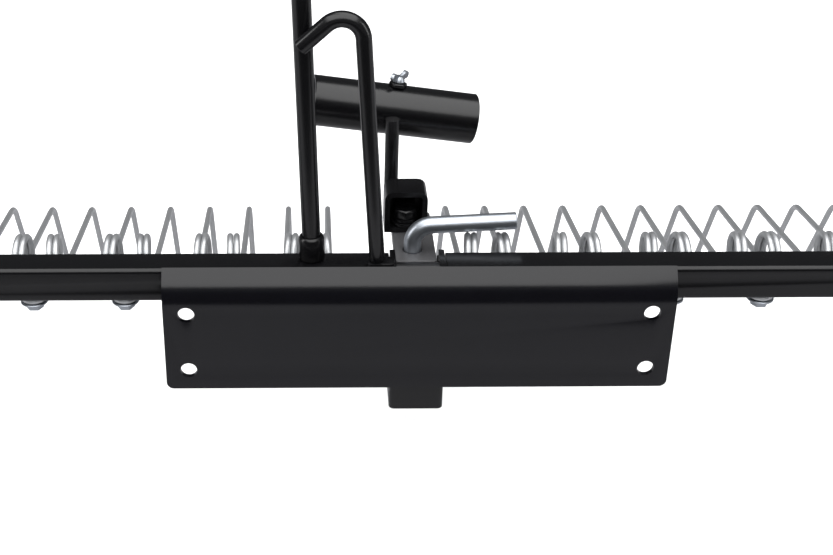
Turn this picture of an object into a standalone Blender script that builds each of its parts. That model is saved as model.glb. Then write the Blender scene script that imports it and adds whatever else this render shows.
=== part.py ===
"""Rear-mounted spring-tine lawn dethatcher, modelled in metres.

Frame: origin at the centre of the four-hole pattern on the front face of the
mount plate. +X runs along the tine bar, +Y points back from the tractor to
the trailing tines, +Z is up.
"""
import math

import bmesh
import bpy
from mathutils import Matrix, Vector

MM = 0.001
GAP = 0.3
HOLE_PLAY = 0.4

# Mount plate (bent sheet)
PLATE_WIDTH = 275.0
PLATE_THICK = 3.0
HOLE_SPACING_X = 250.0
HOLE_SPACING_Z = 35.0
HOLE_RADIUS = 4.5
PLATE_EDGE = 12.0
PLATE_BOTTOM = -HOLE_SPACING_Z / 2 - PLATE_EDGE
BEND_START = 22.0
BEND_RADIUS = 22.0
BEND_ANGLE = math.radians(40.0)
LIP_LENGTH = 6.9
PLATE_CORNER = 4.0

# Tine bar: two square half tubes on one round pivot shaft
BAR_SIZE = 20.0
BAR_WALL = 2.0
AXIS_Y = 24.5
AXIS_Z = 27.3
RAKE_OFFSET = -10.0
BAR_HALF = 510.0
BAR_TOP = AXIS_Z + BAR_SIZE / 2
BAR_BOTTOM = AXIS_Z - BAR_SIZE / 2
BAR_REAR = AXIS_Y + BAR_SIZE / 2
SHAFT_RADIUS = 7.4
SHAFT_PLAY = 0.35
SHAFT_REACH = 85.0
CAP_THICK = 3.0
SCREW_RADIUS = 3.0

# Centre box welded behind the plate
BOX_HALF_X = 15.0
BOX_WALL = 3.0
BOX_FRONT = PLATE_THICK + GAP
BOX_REAR = 43.0
BOX_BOTTOM = -46.0
BOX_TOP = 37.7
CHEEK_REAR = 35.5
BOX_NOTCH_Y = 12.8
BOX_NOTCH_Z = 16.0

# Tongue with its L-shaped hitch pin
TONGUE_HALF_X = 11.6
TONGUE_THICK = 6.0
TONGUE_TOP = 30.0
TONGUE_FRONT = CHEEK_REAR + GAP
TONGUE_REAR = 96.0
PIN_X = -1.3
PIN_Y = 50.0
PIN_RADIUS = 4.9
PIN_BOTTOM = 4.0
PIN_BEND = 11.0
PIN_HANDLE_Z = 45.3
PIN_HANDLE_END = 56.0
PIN_HANDLE_RISE = math.radians(3.0)

# Swivelling tube holder on the tongue
SWIVEL_X = -4.0
SWIVEL_Y = 77.0
ARCH_WIDTH = 24.4
ARCH_FRONT = 69.5
ARCH_REAR = 88.0
ARCH_THICK = 3.0
ARCH_BACK = 2.5
ARCH_TOP = 55.5
ARCH_ROUND = 5.0
SWIVEL_BOLT_RADIUS = 4.0
WASHER_RADIUS = 8.3
WASHER_STEP = 1.0
WASHER_THICK = 1.8
TEE_ROD_X = -11.7
TEE_ROD_RADIUS = 4.0
TEE_ROD_TOP = 91.0
TUBE_CENTRE = (-10.5, 111.6, 88.4)
TUBE_RADIUS = 14.5
TUBE_WALL = 2.0
TUBE_LENGTH = 96.0
TUBE_NUT_HEIGHT = 2.2
TUBE_YAW = math.radians(5.0)
TUBE_DROP = math.radians(9.5)
WING_NECK = TUBE_NUT_HEIGHT + GAP
WING_ROOT = 2.0
WING_RISE = 3.8
WING_REACH = 6.2
WING_TURN = math.radians(45.0)

# Hook rod that keeps the lever upright
HOOK_Y = 17.4
HOOK_RADIUS = 4.2
HOOK_FOOT = (-22.56, 41.3)
HOOK_LEAN = math.radians(3.7)
HOOK_BEND = 11.0
HOOK_BEND_CENTRE = (-42.3, 165.6)
HOOK_TURN = math.radians(128.6)
HOOK_ARM = 18.0
HOOK_SPIGOT = 3.0
HOOK_SPIGOT_DROP = 3.1
HOOK_PLATE_X = (-28.0, -13.0)
HOOK_PLATE_Y = (13.0, 22.0)
HOOK_PLATE_THICK = 3.0

# Lever
LEVER_Y = 27.0
LEVER_X = -57.4
LEVER_RADIUS = 5.0
LEVER_LEAN = math.radians(1.9)
LEVER_LENGTH = 380.0
SOCKET_RADIUS = 7.0
SOCKET_HEIGHT = 14.0
GRIP_RADIUS = 13.0
GRIP_LENGTH = 110.0

# Double spring tines
TINES = 20
TINE_PITCH = 50.0
CENTRE_GAP = 2 * TINE_PITCH
WIRE_RADIUS = 1.8
COIL_RADIUS = 11.5
COIL_TURNS = 2
COIL_POINTS = 7
LEG_X = 12.5
BRIDGE_X = 5.2
APEX_Y = 165.0
APEX_Z = -1.0
LEG_BEND = 9.0
TIP_LENGTH = 100.0
TIP_ANGLE = math.radians(61.6)

# Colours: base colour, roughness, metallic
BLACK_PAINT = ((0.012, 0.012, 0.013, 1), 0.36, 0.0)
ZINC = ((0.72, 0.76, 0.80, 1), 0.26, 1.0)
SPRING_STEEL = ((0.62, 0.63, 0.64, 1), 0.38, 1.0)
RUBBER = ((0.02, 0.02, 0.02, 1), 0.75, 0.0)

for old in list(bpy.data.objects):
    bpy.data.objects.remove(old, do_unlink=True)

PARTS = bpy.data.collections.new("lawn_dethatcher")
CUTTERS = bpy.data.collections.new("cutters")
bpy.context.scene.collection.children.link(PARTS)
bpy.context.scene.collection.children.link(CUTTERS)


def make_material(name, finish):
    """A Principled material of one colour, roughness and metallic value."""
    material = bpy.data.materials.new(name)
    material.use_nodes = True
    shader = material.node_tree.nodes["Principled BSDF"]
    colour, roughness, metallic = finish
    shader.inputs["Base Color"].default_value = colour
    shader.inputs["Roughness"].default_value = roughness
    shader.inputs["Metallic"].default_value = metallic
    material.diffuse_color = colour
    return material


def add_object(name, mesh, finish, smooth=False):
    """Link a mesh as a named part with its own material."""
    part = bpy.data.objects.new(name, mesh)
    PARTS.objects.link(part)
    mesh.materials.clear()
    mesh.materials.append(make_material(name + "_finish", finish))
    if smooth:
        mesh.shade_smooth()
        mesh.set_sharp_from_angle(angle=math.radians(35))
    return part


def mesh_from(shape, name):
    """Turn a bmesh whose coordinates are millimetres into a mesh in metres."""
    bmesh.ops.recalc_face_normals(shape, faces=shape.faces)
    bmesh.ops.scale(shape, vec=(MM, MM, MM), verts=shape.verts)
    mesh = bpy.data.meshes.new(name)
    shape.to_mesh(mesh)
    shape.free()
    return mesh


def put_box(shape, low, high):
    """Add a box between two corners to a bmesh."""
    size = [b - a for a, b in zip(low, high)]
    centre = [(a + b) / 2 for a, b in zip(low, high)]
    matrix = Matrix.Translation(centre) @ Matrix.Diagonal((*size, 1.0))
    bmesh.ops.create_cube(shape, size=1.0, matrix=matrix)


def put_rod(shape, start, end, radius, sides=16, end_radius=None):
    """Add a cylinder or cone between two points to a bmesh."""
    a = Vector(start)
    b = Vector(end)
    turn = (b - a).to_track_quat("Z", "Y").to_matrix().to_4x4()
    matrix = Matrix.Translation((a + b) / 2) @ turn
    top = radius if end_radius is None else end_radius
    bmesh.ops.create_cone(shape, cap_ends=True, segments=sides, radius1=radius,
                          radius2=top, depth=(b - a).length, matrix=matrix)


def cutter(name, build):
    """A hidden wire-frame object whose shape a Boolean takes away."""
    shape = bmesh.new()
    build(shape)
    tool = bpy.data.objects.new(name, mesh_from(shape, name))
    CUTTERS.objects.link(tool)
    tool.hide_render = True
    tool.display_type = "WIRE"
    return tool


def cut(part, tool):
    """Subtract a cutter from a part with an exact Boolean."""
    modifier = part.modifiers.new("cut_" + tool.name, "BOOLEAN")
    modifier.operation = "DIFFERENCE"
    modifier.solver = "EXACT"
    modifier.object = tool


def unite(part, tool):
    """Join a cutter's shape to a part with an exact Boolean."""
    modifier = part.modifiers.new("join_" + tool.name, "BOOLEAN")
    modifier.operation = "UNION"
    modifier.solver = "EXACT"
    modifier.object = tool


def solid(name, finish, build, smooth=False):
    """A part from a function that fills a bmesh in millimetres."""
    shape = bmesh.new()
    build(shape)
    return add_object(name, mesh_from(shape, name), finish, smooth)


def wire(name, points, radius, finish, resolution=2):
    """A round rod along a poly line, made a closed mesh."""
    curve = bpy.data.curves.new(name + "_path", "CURVE")
    curve.dimensions = "3D"
    curve.bevel_depth = radius * MM
    curve.bevel_resolution = resolution
    curve.use_fill_caps = True
    spline = curve.splines.new("POLY")
    spline.points.add(len(points) - 1)
    for slot, point in zip(spline.points, points):
        slot.co = (*[c * MM for c in point], 1.0)
    guide = bpy.data.objects.new(name + "_path", curve)
    CUTTERS.objects.link(guide)
    bpy.context.view_layer.update()
    graph = bpy.context.evaluated_depsgraph_get()
    mesh = bpy.data.meshes.new_from_object(guide.evaluated_get(graph))
    bpy.data.objects.remove(guide, do_unlink=True)
    shape = bmesh.new()
    shape.from_mesh(mesh)
    bmesh.ops.remove_doubles(shape, verts=shape.verts, dist=0.00001)
    bmesh.ops.recalc_face_normals(shape, faces=shape.faces)
    shape.to_mesh(mesh)
    shape.free()
    return add_object(name, mesh, finish, smooth=True)


def arc(centre, radius, start, turn, steps):
    """Points on an arc in a plane, the first one left out."""
    points = []
    for step in range(1, steps + 1):
        angle = start + turn * step / steps
        points.append((centre[0] + radius * math.cos(angle),
                       centre[1] + radius * math.sin(angle)))
    return points


def prism(shape, outline, low_x, high_x):
    """Extrude an outline of (y, z) points along X."""
    verts = [shape.verts.new((low_x, y, z)) for y, z in outline]
    face = shape.faces.new(verts)
    grown = bmesh.ops.extrude_face_region(shape, geom=[face])
    moved = [v for v in grown["geom"] if isinstance(v, bmesh.types.BMVert)]
    bmesh.ops.translate(shape, vec=(high_x - low_x, 0, 0), verts=moved)


# ---------------------------------------------------------------- mount side

def plate_line(offset):
    """The plate's bent line in (y, z), at a distance behind its front face."""
    centre = (BEND_RADIUS, BEND_START)
    radius = BEND_RADIUS - offset
    line = [(offset, PLATE_BOTTOM), (offset, BEND_START)]
    line += arc(centre, radius, math.pi, -BEND_ANGLE, 6)
    last = line[-1]
    line.append((last[0] + LIP_LENGTH * math.sin(BEND_ANGLE),
                 last[1] + LIP_LENGTH * math.cos(BEND_ANGLE)))
    return line


def build_mount_plate():
    """Sheet with four bolt holes, its upper edge bent back in a wide bend."""
    half = PLATE_WIDTH / 2

    def sheet(shape):
        outline = plate_line(0.0) + plate_line(PLATE_THICK)[::-1]
        prism(shape, outline, -half, half)

    plate = solid("mount_plate", BLACK_PAINT, sheet)

    def holes(shape):
        for side in (-1, 1):
            for level in (-1, 1):
                x = side * HOLE_SPACING_X / 2
                z = level * HOLE_SPACING_Z / 2
                put_rod(shape, (x, -2, z), (x, PLATE_THICK + 2, z), HOLE_RADIUS, 24)

    cut(plate, cutter("plate_holes", holes))

    def corners(shape):
        for side in (-1, 1):
            x = side * half
            z = PLATE_BOTTOM
            put_box(shape, (x - PLATE_CORNER, -2, z - 1), (x + PLATE_CORNER, 5, z + PLATE_CORNER))

    def rounds(shape):
        for side in (-1, 1):
            x = side * (half - PLATE_CORNER)
            z = PLATE_BOTTOM + PLATE_CORNER
            put_rod(shape, (x, -3, z), (x, 6, z), PLATE_CORNER, 24)

    corner_tool = cutter("plate_corners", corners)
    cut(corner_tool, cutter("plate_rounds", rounds))
    cut(plate, corner_tool)
    return plate


def build_centre_box():
    """Open-ended box behind the plate whose cheeks carry the pivot shaft."""
    box = solid("centre_box", BLACK_PAINT, lambda s: put_box(
        s, (-BOX_HALF_X, BOX_FRONT, BOX_BOTTOM), (BOX_HALF_X, BOX_REAR, BOX_TOP)))
    inner = BOX_HALF_X - BOX_WALL

    def hollow(shape):
        put_box(shape, (-inner, BOX_FRONT + BOX_WALL, BOX_BOTTOM - 2),
                (inner, BOX_REAR - BOX_WALL, BOX_TOP + 2))

    def notch(shape):
        put_box(shape, (-BOX_HALF_X - 2, 0, BOX_NOTCH_Z),
                (BOX_HALF_X + 2, BOX_NOTCH_Y, BOX_TOP + 3))

    def rear_step(shape):
        put_box(shape, (-BOX_HALF_X - 2, CHEEK_REAR, TONGUE_TOP),
                (BOX_HALF_X + 2, BOX_REAR + 3, BOX_TOP + 4))

    def tongue_slot(shape):
        half = TONGUE_HALF_X + GAP
        put_box(shape, (-half, CHEEK_REAR - 1, TONGUE_TOP - TONGUE_THICK - GAP),
                (half, BOX_REAR + 4, TONGUE_TOP + 2))

    def bore(shape):
        put_rod(shape, (-BOX_HALF_X - 3, AXIS_Y, AXIS_Z), (BOX_HALF_X + 3, AXIS_Y, AXIS_Z),
                SHAFT_RADIUS + SHAFT_PLAY, 24)

    cut(box, cutter("box_hollow", hollow))
    cut(box, cutter("box_notch", notch))
    cut(box, cutter("box_rear_step", rear_step))
    cut(box, cutter("box_tongue_slot", tongue_slot))
    cut(box, cutter("box_bore", bore))
    return box


def build_tongue():
    """Flat hitch tongue between the box's cheeks, drilled for the pin and the swivel."""
    low_z = TONGUE_TOP - TONGUE_THICK
    tongue = solid("hitch_tongue", BLACK_PAINT, lambda s: put_box(
        s, (-TONGUE_HALF_X, TONGUE_FRONT, low_z), (TONGUE_HALF_X, TONGUE_REAR, TONGUE_TOP)))

    def holes(shape):
        put_rod(shape, (PIN_X, PIN_Y, low_z - 2), (PIN_X, PIN_Y, TONGUE_TOP + 2),
                PIN_RADIUS + HOLE_PLAY, 24)
        put_rod(shape, (SWIVEL_X, SWIVEL_Y, low_z - 3), (SWIVEL_X, SWIVEL_Y, TONGUE_TOP + 3),
                SWIVEL_BOLT_RADIUS + HOLE_PLAY, 16)

    cut(tongue, cutter("tongue_holes", holes))
    return tongue


def build_swivel_hardware():
    """Bolt, washers and nut that hold the tube holder on the tongue."""
    base = TONGUE_TOP + GAP + ARCH_THICK + GAP
    seat = base + 2 * (WASHER_THICK + GAP)
    nut_top = TONGUE_TOP - TONGUE_THICK - GAP
    shank = SWIVEL_BOLT_RADIUS

    def bolt(shape):
        put_rod(shape, (SWIVEL_X, SWIVEL_Y, nut_top - 9), (SWIVEL_X, SWIVEL_Y, seat + 0.5),
                shank, 12)

    def head(shape):
        put_rod(shape, (SWIVEL_X, SWIVEL_Y, seat), (SWIVEL_X, SWIVEL_Y, seat + 5.3), 7.4, 6)

    unite(solid("swivel_bolt", BLACK_PAINT, bolt), cutter("swivel_head", head))

    def bore(shape):
        put_rod(shape, (SWIVEL_X, SWIVEL_Y, -5), (SWIVEL_X, SWIVEL_Y, 60), shank + HOLE_PLAY, 12)

    for level, name in enumerate(("swivel_washer_lower", "swivel_washer_upper")):
        low_z = base + level * (WASHER_THICK + GAP)
        washer = solid(name, BLACK_PAINT, lambda s, z=low_z, level=level: put_rod(
            s, (SWIVEL_X, SWIVEL_Y, z), (SWIVEL_X, SWIVEL_Y, z + WASHER_THICK),
            WASHER_RADIUS - level * WASHER_STEP, 20))
        cut(washer, cutter(name + "_bore", bore))

    nut = solid("swivel_nut", ZINC, lambda s: put_rod(
        s, (SWIVEL_X, SWIVEL_Y, nut_top - 6), (SWIVEL_X, SWIVEL_Y, nut_top), 7.4, 6))
    cut(nut, cutter("nut_bore", bore))


def build_hook_plate():
    """Flat lug on the box's left cheek that the hook rod turns in."""
    low = (HOOK_PLATE_X[0], HOOK_PLATE_Y[0], BOX_TOP + GAP)
    high = (HOOK_PLATE_X[1], HOOK_PLATE_Y[1], BOX_TOP + GAP + HOOK_PLATE_THICK)
    plate = solid("hook_plate", BLACK_PAINT, lambda s: put_box(s, low, high))
    under = hook_point(-8.0)
    over = hook_point(4.0)

    def bore(shape):
        put_rod(shape, under, over, HOOK_SPIGOT + HOLE_PLAY, 12)

    cut(plate, cutter("hook_plate_bore", bore))
    return plate


# ---------------------------------------------------------------- hitch pin

def build_hitch_pin():
    """Round L-shaped pin: a leg through the tongue and a handle to the right."""
    centre = (PIN_X + PIN_BEND, PIN_HANDLE_Z - PIN_BEND)
    path = [(PIN_X, PIN_BOTTOM), (PIN_X, centre[1])]
    path += arc(centre, PIN_BEND, math.pi, -(math.pi / 2 - PIN_HANDLE_RISE), 6)
    last = path[-1]
    reach = PIN_HANDLE_END - last[0]
    path.append((PIN_HANDLE_END, last[1] + reach * math.tan(PIN_HANDLE_RISE)))
    return wire("hitch_pin", [(x, PIN_Y, z) for x, z in path], PIN_RADIUS, ZINC, 4)


# ---------------------------------------------------------------- tube holder

def build_arch_bracket():
    """Bracket open at its front, round at its upper corners, that swivels on the tongue."""
    half = ARCH_WIDTH / 2
    base = TONGUE_TOP + GAP

    def outline(inset):
        """Closed loop in (x, z) at a distance inside the outer face."""
        r = ARCH_ROUND - inset
        right = SWIVEL_X + half - inset
        left = SWIVEL_X - half + inset
        top = ARCH_TOP - inset
        loop = [(left, base + inset), (right, base + inset), (right, top - r)]
        loop += arc((right - r, top - r), r, 0.0, math.pi / 2, 3)
        loop.append((left + r, top))
        loop += arc((left + r, top - r), r, math.pi / 2, math.pi / 2, 3)
        return loop

    def body(shape):
        fill(shape, outline(0.0), ARCH_FRONT, ARCH_REAR)

    def hollow(shape):
        fill(shape, outline(ARCH_THICK), ARCH_FRONT - 3, ARCH_REAR - ARCH_BACK)

    def fill(shape, loop, near, far):
        """Extrude an (x, z) loop along Y."""
        verts = [shape.verts.new((x, near, z)) for x, z in loop]
        face = shape.faces.new(verts)
        grown = bmesh.ops.extrude_face_region(shape, geom=[face])
        moved = [v for v in grown["geom"] if isinstance(v, bmesh.types.BMVert)]
        bmesh.ops.translate(shape, vec=(0, far - near, 0), verts=moved)

    arch = solid("arch_bracket", BLACK_PAINT, body)
    cut(arch, cutter("arch_hollow", hollow))

    def bore(shape):
        put_rod(shape, (SWIVEL_X, SWIVEL_Y, base - 2), (SWIVEL_X, SWIVEL_Y, base + 5),
                SWIVEL_BOLT_RADIUS + HOLE_PLAY, 16)

    cut(arch, cutter("arch_bore", bore))
    return arch


def tube_axis():
    """Unit vector along the holder tube, to the right."""
    return Vector((math.cos(TUBE_DROP) * math.cos(TUBE_YAW),
                   math.cos(TUBE_DROP) * math.sin(TUBE_YAW),
                   -math.sin(TUBE_DROP)))


def tube_up():
    """Unit vector from the tube's centre line to its top."""
    along = tube_axis()
    return (Vector((0, 0, 1)) - along * along.z).normalized()


def build_tube_holder():
    """Upright rod on the bracket's back and the open tube it carries."""
    rod_y = ARCH_REAR + GAP + TEE_ROD_RADIUS
    solid("tee_rod", BLACK_PAINT, lambda s: put_rod(
        s, (TEE_ROD_X, rod_y, TONGUE_TOP + 1.0), (TEE_ROD_X, rod_y, TEE_ROD_TOP),
        TEE_ROD_RADIUS, 16), smooth=True)
    centre = Vector(TUBE_CENTRE)
    along = tube_axis() * (TUBE_LENGTH / 2)
    tube = solid("tee_tube", BLACK_PAINT, lambda s: put_rod(
        s, centre - along, centre + along, TUBE_RADIUS, 28), smooth=True)

    def bore(shape):
        put_rod(shape, centre - along * 1.2, centre + along * 1.2, TUBE_RADIUS - TUBE_WALL, 28)

    cut(tube, cutter("tube_bore", bore))
    seat = centre + tube_up() * (TUBE_RADIUS - TUBE_WALL)

    def screw_hole(shape):
        put_rod(shape, seat - tube_up() * 4, seat + tube_up() * 14, 3.0, 12)

    cut(tube, cutter("tube_screw_hole", screw_hole))
    outer = centre + tube_up() * (TUBE_RADIUS + GAP)
    nut = solid("tube_nut", BLACK_PAINT, lambda s: put_rod(
        s, outer, outer + tube_up() * TUBE_NUT_HEIGHT, 5.4, 6))
    cut(nut, cutter("tube_nut_bore", screw_hole))
    return outer


def build_wing_screw(seat):
    """Thumb screw in the tube's nut: shank, neck and two wings."""
    up = tube_up()
    low = seat - up * (TUBE_WALL + GAP + 1.0)
    neck = seat + up * WING_NECK
    along = tube_axis()
    across = along * math.cos(WING_TURN) + up.cross(along) * math.sin(WING_TURN)

    def shank(shape):
        put_rod(shape, low, neck + up * 0.5, 2.5, 12)

    screw = solid("wing_screw", ZINC, shank, smooth=True)

    def grip(shape):
        put_rod(shape, neck, neck + up * 4.0, 3.6, 12, 2.8)

    def wing(side):
        """A function that adds one wing, wider at its tip."""
        def build(shape):
            root = neck + up * WING_ROOT + across * (side * 0.8)
            tip = neck + up * WING_RISE + across * (side * WING_REACH)
            put_rod(shape, root, tip, 1.7, 10, 2.4)
        return build

    for label, build in (("screw_grip", grip), ("left_wing", wing(-1)), ("right_wing", wing(1))):
        unite(screw, cutter(label, build))
    return screw


# ---------------------------------------------------------------- hook rod

def hook_point(distance):
    """A point on the hook's turning axis, a distance above its foot."""
    return Vector((HOOK_FOOT[0] - math.sin(HOOK_LEAN) * distance, HOOK_Y,
                   HOOK_FOOT[1] + math.cos(HOOK_LEAN) * distance))


def build_hook_rod():
    """Rod bent into a hook whose square-cut end lies in front of the lever."""
    start = HOOK_LEAN
    path = [(HOOK_FOOT[0], HOOK_FOOT[1] + GAP)]
    first = (HOOK_BEND_CENTRE[0] + HOOK_BEND * math.cos(start),
             HOOK_BEND_CENTRE[1] + HOOK_BEND * math.sin(start))
    path.append(first)
    path += arc(HOOK_BEND_CENTRE, HOOK_BEND, start, HOOK_TURN, 8)
    last = path[-1]
    heading = start + HOOK_TURN + math.pi / 2
    path.append((last[0] + HOOK_ARM * math.cos(heading),
                 last[1] + HOOK_ARM * math.sin(heading)))
    rod = wire("hook_rod", [(x, HOOK_Y, z) for x, z in path], HOOK_RADIUS, BLACK_PAINT, 3)
    top = hook_point(2.0)
    bottom = hook_point(-HOOK_SPIGOT_DROP)

    def spigot(shape):
        put_rod(shape, bottom, top, HOOK_SPIGOT, 12)

    unite(rod, cutter("hook_spigot", spigot))
    return rod


# ---------------------------------------------------------------- rake side

def tine_centres():
    """X of each double tine, half on each side of the centre box."""
    half = TINES // 2
    first = RAKE_OFFSET - CENTRE_GAP / 2 - (half - 1) * TINE_PITCH
    left = [first + i * TINE_PITCH for i in range(half)]
    right = [RAKE_OFFSET + CENTRE_GAP / 2 + i * TINE_PITCH for i in range(half)]
    return left + right


def shaft_bolt_places():
    """X of the two bolts that fix the half tubes to the pivot shaft."""
    return (RAKE_OFFSET - 75.0, RAKE_OFFSET + 75.0)


def bar_half(name, low_x, high_x):
    """One square half tube with its shaft bolt hole."""
    half = BAR_SIZE / 2
    inner = half - BAR_WALL
    bar = solid(name, BLACK_PAINT, lambda s: put_box(
        s, (low_x, AXIS_Y - half, AXIS_Z - half), (high_x, AXIS_Y + half, AXIS_Z + half)))

    def hollow(shape):
        put_box(shape, (low_x - 3, AXIS_Y - inner, AXIS_Z - inner),
                (high_x + 3, AXIS_Y + inner, AXIS_Z + inner))

    cut(bar, cutter(name + "_hollow", hollow))

    def holes(shape):
        for x in shaft_bolt_places():
            if low_x < x < high_x:
                put_rod(shape, (x, 0, AXIS_Z), (x, 50, AXIS_Z), SCREW_RADIUS + 0.5, 8)

    cut(bar, cutter(name + "_holes", holes))
    return bar


def build_bar():
    """Both half tubes, the pivot shaft, its bolts and nuts, and the end caps."""
    left_end = RAKE_OFFSET - BAR_HALF
    right_end = RAKE_OFFSET + BAR_HALF
    inner_end = BOX_HALF_X + 0.5
    bar_half("crossbar_left", left_end, -inner_end)
    bar_half("crossbar_right", inner_end, right_end)

    shaft = solid("pivot_shaft", SPRING_STEEL, lambda s: put_rod(
        s, (RAKE_OFFSET - SHAFT_REACH, AXIS_Y, AXIS_Z),
        (RAKE_OFFSET + SHAFT_REACH, AXIS_Y, AXIS_Z), SHAFT_RADIUS, 24), smooth=True)

    def shaft_holes(shape):
        for x in shaft_bolt_places():
            put_rod(shape, (x, 0, AXIS_Z), (x, 50, AXIS_Z), SCREW_RADIUS + 0.5, 8)

    cut(shaft, cutter("shaft_holes", shaft_holes))
    front = AXIS_Y - BAR_SIZE / 2 - GAP
    rear = BAR_REAR + GAP

    for name, x in zip(("left", "right"), shaft_bolt_places()):
        bolt = solid("shaft_bolt_" + name, ZINC, lambda s, x=x: put_rod(
            s, (x, front, AXIS_Z), (x, rear + 7, AXIS_Z), SCREW_RADIUS, 8))
        unite(bolt, cutter(name + "_bolt_head", lambda s, x=x: put_rod(
            s, (x, front - 3.6, AXIS_Z), (x, front + 0.2, AXIS_Z), 5.5, 6)))
        nut = solid("shaft_nut_" + name, ZINC, lambda s, x=x: put_rod(
            s, (x, rear, AXIS_Z), (x, rear + 5, AXIS_Z), 5.5, 6))
        cut(nut, cutter(name + "_nut_bore", lambda s, x=x: put_rod(
            s, (x, rear - 2, AXIS_Z), (x, rear + 7, AXIS_Z), SCREW_RADIUS + HOLE_PLAY, 8)))

    half = BAR_SIZE / 2
    plug = half - BAR_WALL - GAP
    for name, end, side in (("end_cap_left", left_end, -1), ("end_cap_right", right_end, 1)):
        face = sorted((end + side * GAP, end + side * (GAP + CAP_THICK)))
        tail = sorted((end + side * (GAP + 1.0), end - side * 12.0))
        cap = solid(name, RUBBER, lambda s, f=face: put_box(
            s, (f[0], AXIS_Y - half, AXIS_Z - half), (f[1], AXIS_Y + half, AXIS_Z + half)))
        unite(cap, cutter(name + "_plug", lambda s, t=tail: put_box(
            s, (t[0], AXIS_Y - plug, AXIS_Z - plug), (t[1], AXIS_Y + plug, AXIS_Z + plug))))


def tine_side(side):
    """One leg of a double tine from its tip to its coil, then the bridge.

    Points are (x, y, z) about the pair's own centre plane, in order from the
    tip to the bridge.
    """
    coil_y = BAR_REAR + 0.5 + WIRE_RADIUS + COIL_RADIUS
    coil_z = BAR_BOTTOM - GAP - WIRE_RADIUS + COIL_RADIUS
    drop = math.atan2(coil_z - COIL_RADIUS - APEX_Z, APEX_Y - coil_y)
    run_end = (APEX_Y - LEG_BEND * math.cos(drop), APEX_Z + LEG_BEND * math.sin(drop))
    fall_start = (APEX_Y + LEG_BEND * math.cos(TIP_ANGLE),
                  APEX_Z - LEG_BEND * math.sin(TIP_ANGLE))
    middle = ((run_end[0] + fall_start[0]) / 4 + APEX_Y / 2,
              (run_end[1] + fall_start[1]) / 4 + APEX_Z / 2)
    tip = (APEX_Y + TIP_LENGTH * math.cos(TIP_ANGLE), APEX_Z - TIP_LENGTH * math.sin(TIP_ANGLE))
    points = [(side * LEG_X, y, z) for y, z in (tip, fall_start, middle, run_end)]
    total = COIL_TURNS * COIL_POINTS
    for step in range(total + 1):
        share = step / total
        angle = -math.pi / 2 - share * COIL_TURNS * 2 * math.pi
        x = LEG_X + (BRIDGE_X - LEG_X) * share
        points.append((side * x, coil_y + COIL_RADIUS * math.cos(angle),
                       coil_z + COIL_RADIUS * math.sin(angle)))
    return points


def build_tines():
    """Double tines, each one wire bent to two legs, two coils and a bridge."""
    level = BAR_BOTTOM - GAP - WIRE_RADIUS
    left = tine_side(-1)
    right = tine_side(1)
    bridge = [(BRIDGE_X * math.cos(a), AXIS_Y + BRIDGE_X * math.sin(a), level)
              for a in (math.radians(d) for d in (180, 225, 270, 315, 360))]
    path = left + bridge + right[::-1]
    for number, centre in enumerate(tine_centres(), start=1):
        points = [(centre + x, y, z) for x, y, z in path]
        wire(f"tine_{number:02d}", points, WIRE_RADIUS, SPRING_STEEL, 1)


def lever_point(distance):
    """A point on the lever's centre line, a distance above its foot."""
    return Vector((LEVER_X - math.sin(LEVER_LEAN) * distance, LEVER_Y,
                   BAR_TOP + GAP + math.cos(LEVER_LEAN) * distance))


def build_lever():
    """Socket on the tine bar, the tall rod in it and the grip on its top."""
    def socket(shape):
        put_rod(shape, lever_point(0.4), lever_point(SOCKET_HEIGHT), SOCKET_RADIUS, 20)

    def socket_bore(shape):
        put_rod(shape, lever_point(-4), lever_point(SOCKET_HEIGHT + 4), LEVER_RADIUS + GAP, 20)

    socket_part = solid("lever_socket", BLACK_PAINT, socket, smooth=True)
    cut(socket_part, cutter("socket_bore", socket_bore))
    height = lever_point(7.5)

    def screw_hole(shape):
        put_rod(shape, height + Vector((0, 2, 0)), height + Vector((0, 12, 0)), 2.4, 10)

    cut(socket_part, cutter("socket_screw_hole", screw_hole))
    solid("socket_screw", ZINC, lambda s: put_rod(
        s, height + Vector((0, LEVER_RADIUS + 0.2, 0)), height + Vector((0, 11, 0)), 2.0, 10))
    top = LEVER_LENGTH
    solid("lever_rod", BLACK_PAINT, lambda s: put_rod(
        s, lever_point(0.5), lever_point(top), LEVER_RADIUS, 16), smooth=True)
    grip = solid("lever_grip", RUBBER, lambda s: put_rod(
        s, lever_point(top - GRIP_LENGTH + 6), lever_point(top + 6), GRIP_RADIUS, 20), smooth=True)

    def grip_bore(shape):
        put_rod(shape, lever_point(top - GRIP_LENGTH - 4), lever_point(top + 0.3),
                LEVER_RADIUS + HOLE_PLAY, 16)

    cut(grip, cutter("grip_bore", grip_bore))


def main():
    """Build every part of the dethatcher."""
    build_mount_plate()
    build_centre_box()
    build_tongue()
    build_swivel_hardware()
    build_hook_plate()
    build_hitch_pin()
    build_arch_bracket()
    build_wing_screw(build_tube_holder())
    build_hook_rod()
    build_bar()
    build_tines()
    build_lever()


main()
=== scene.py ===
"""Looks of a rear-mounted spring-tine lawn dethatcher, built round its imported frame.

Frame: origin at the centre of the four-hole pattern on the mount plate's front
face, +X along the tine bar, +Y back to the trailing tines, +Z up. Sizes in the
classes are millimetres. Meshes are metres.
"""

import logging
import math
from collections.abc import Callable, Sequence
from dataclasses import dataclass
from enum import Enum
from functools import cache

import bmesh
import bpy
from mathutils import Matrix, Vector


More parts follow.
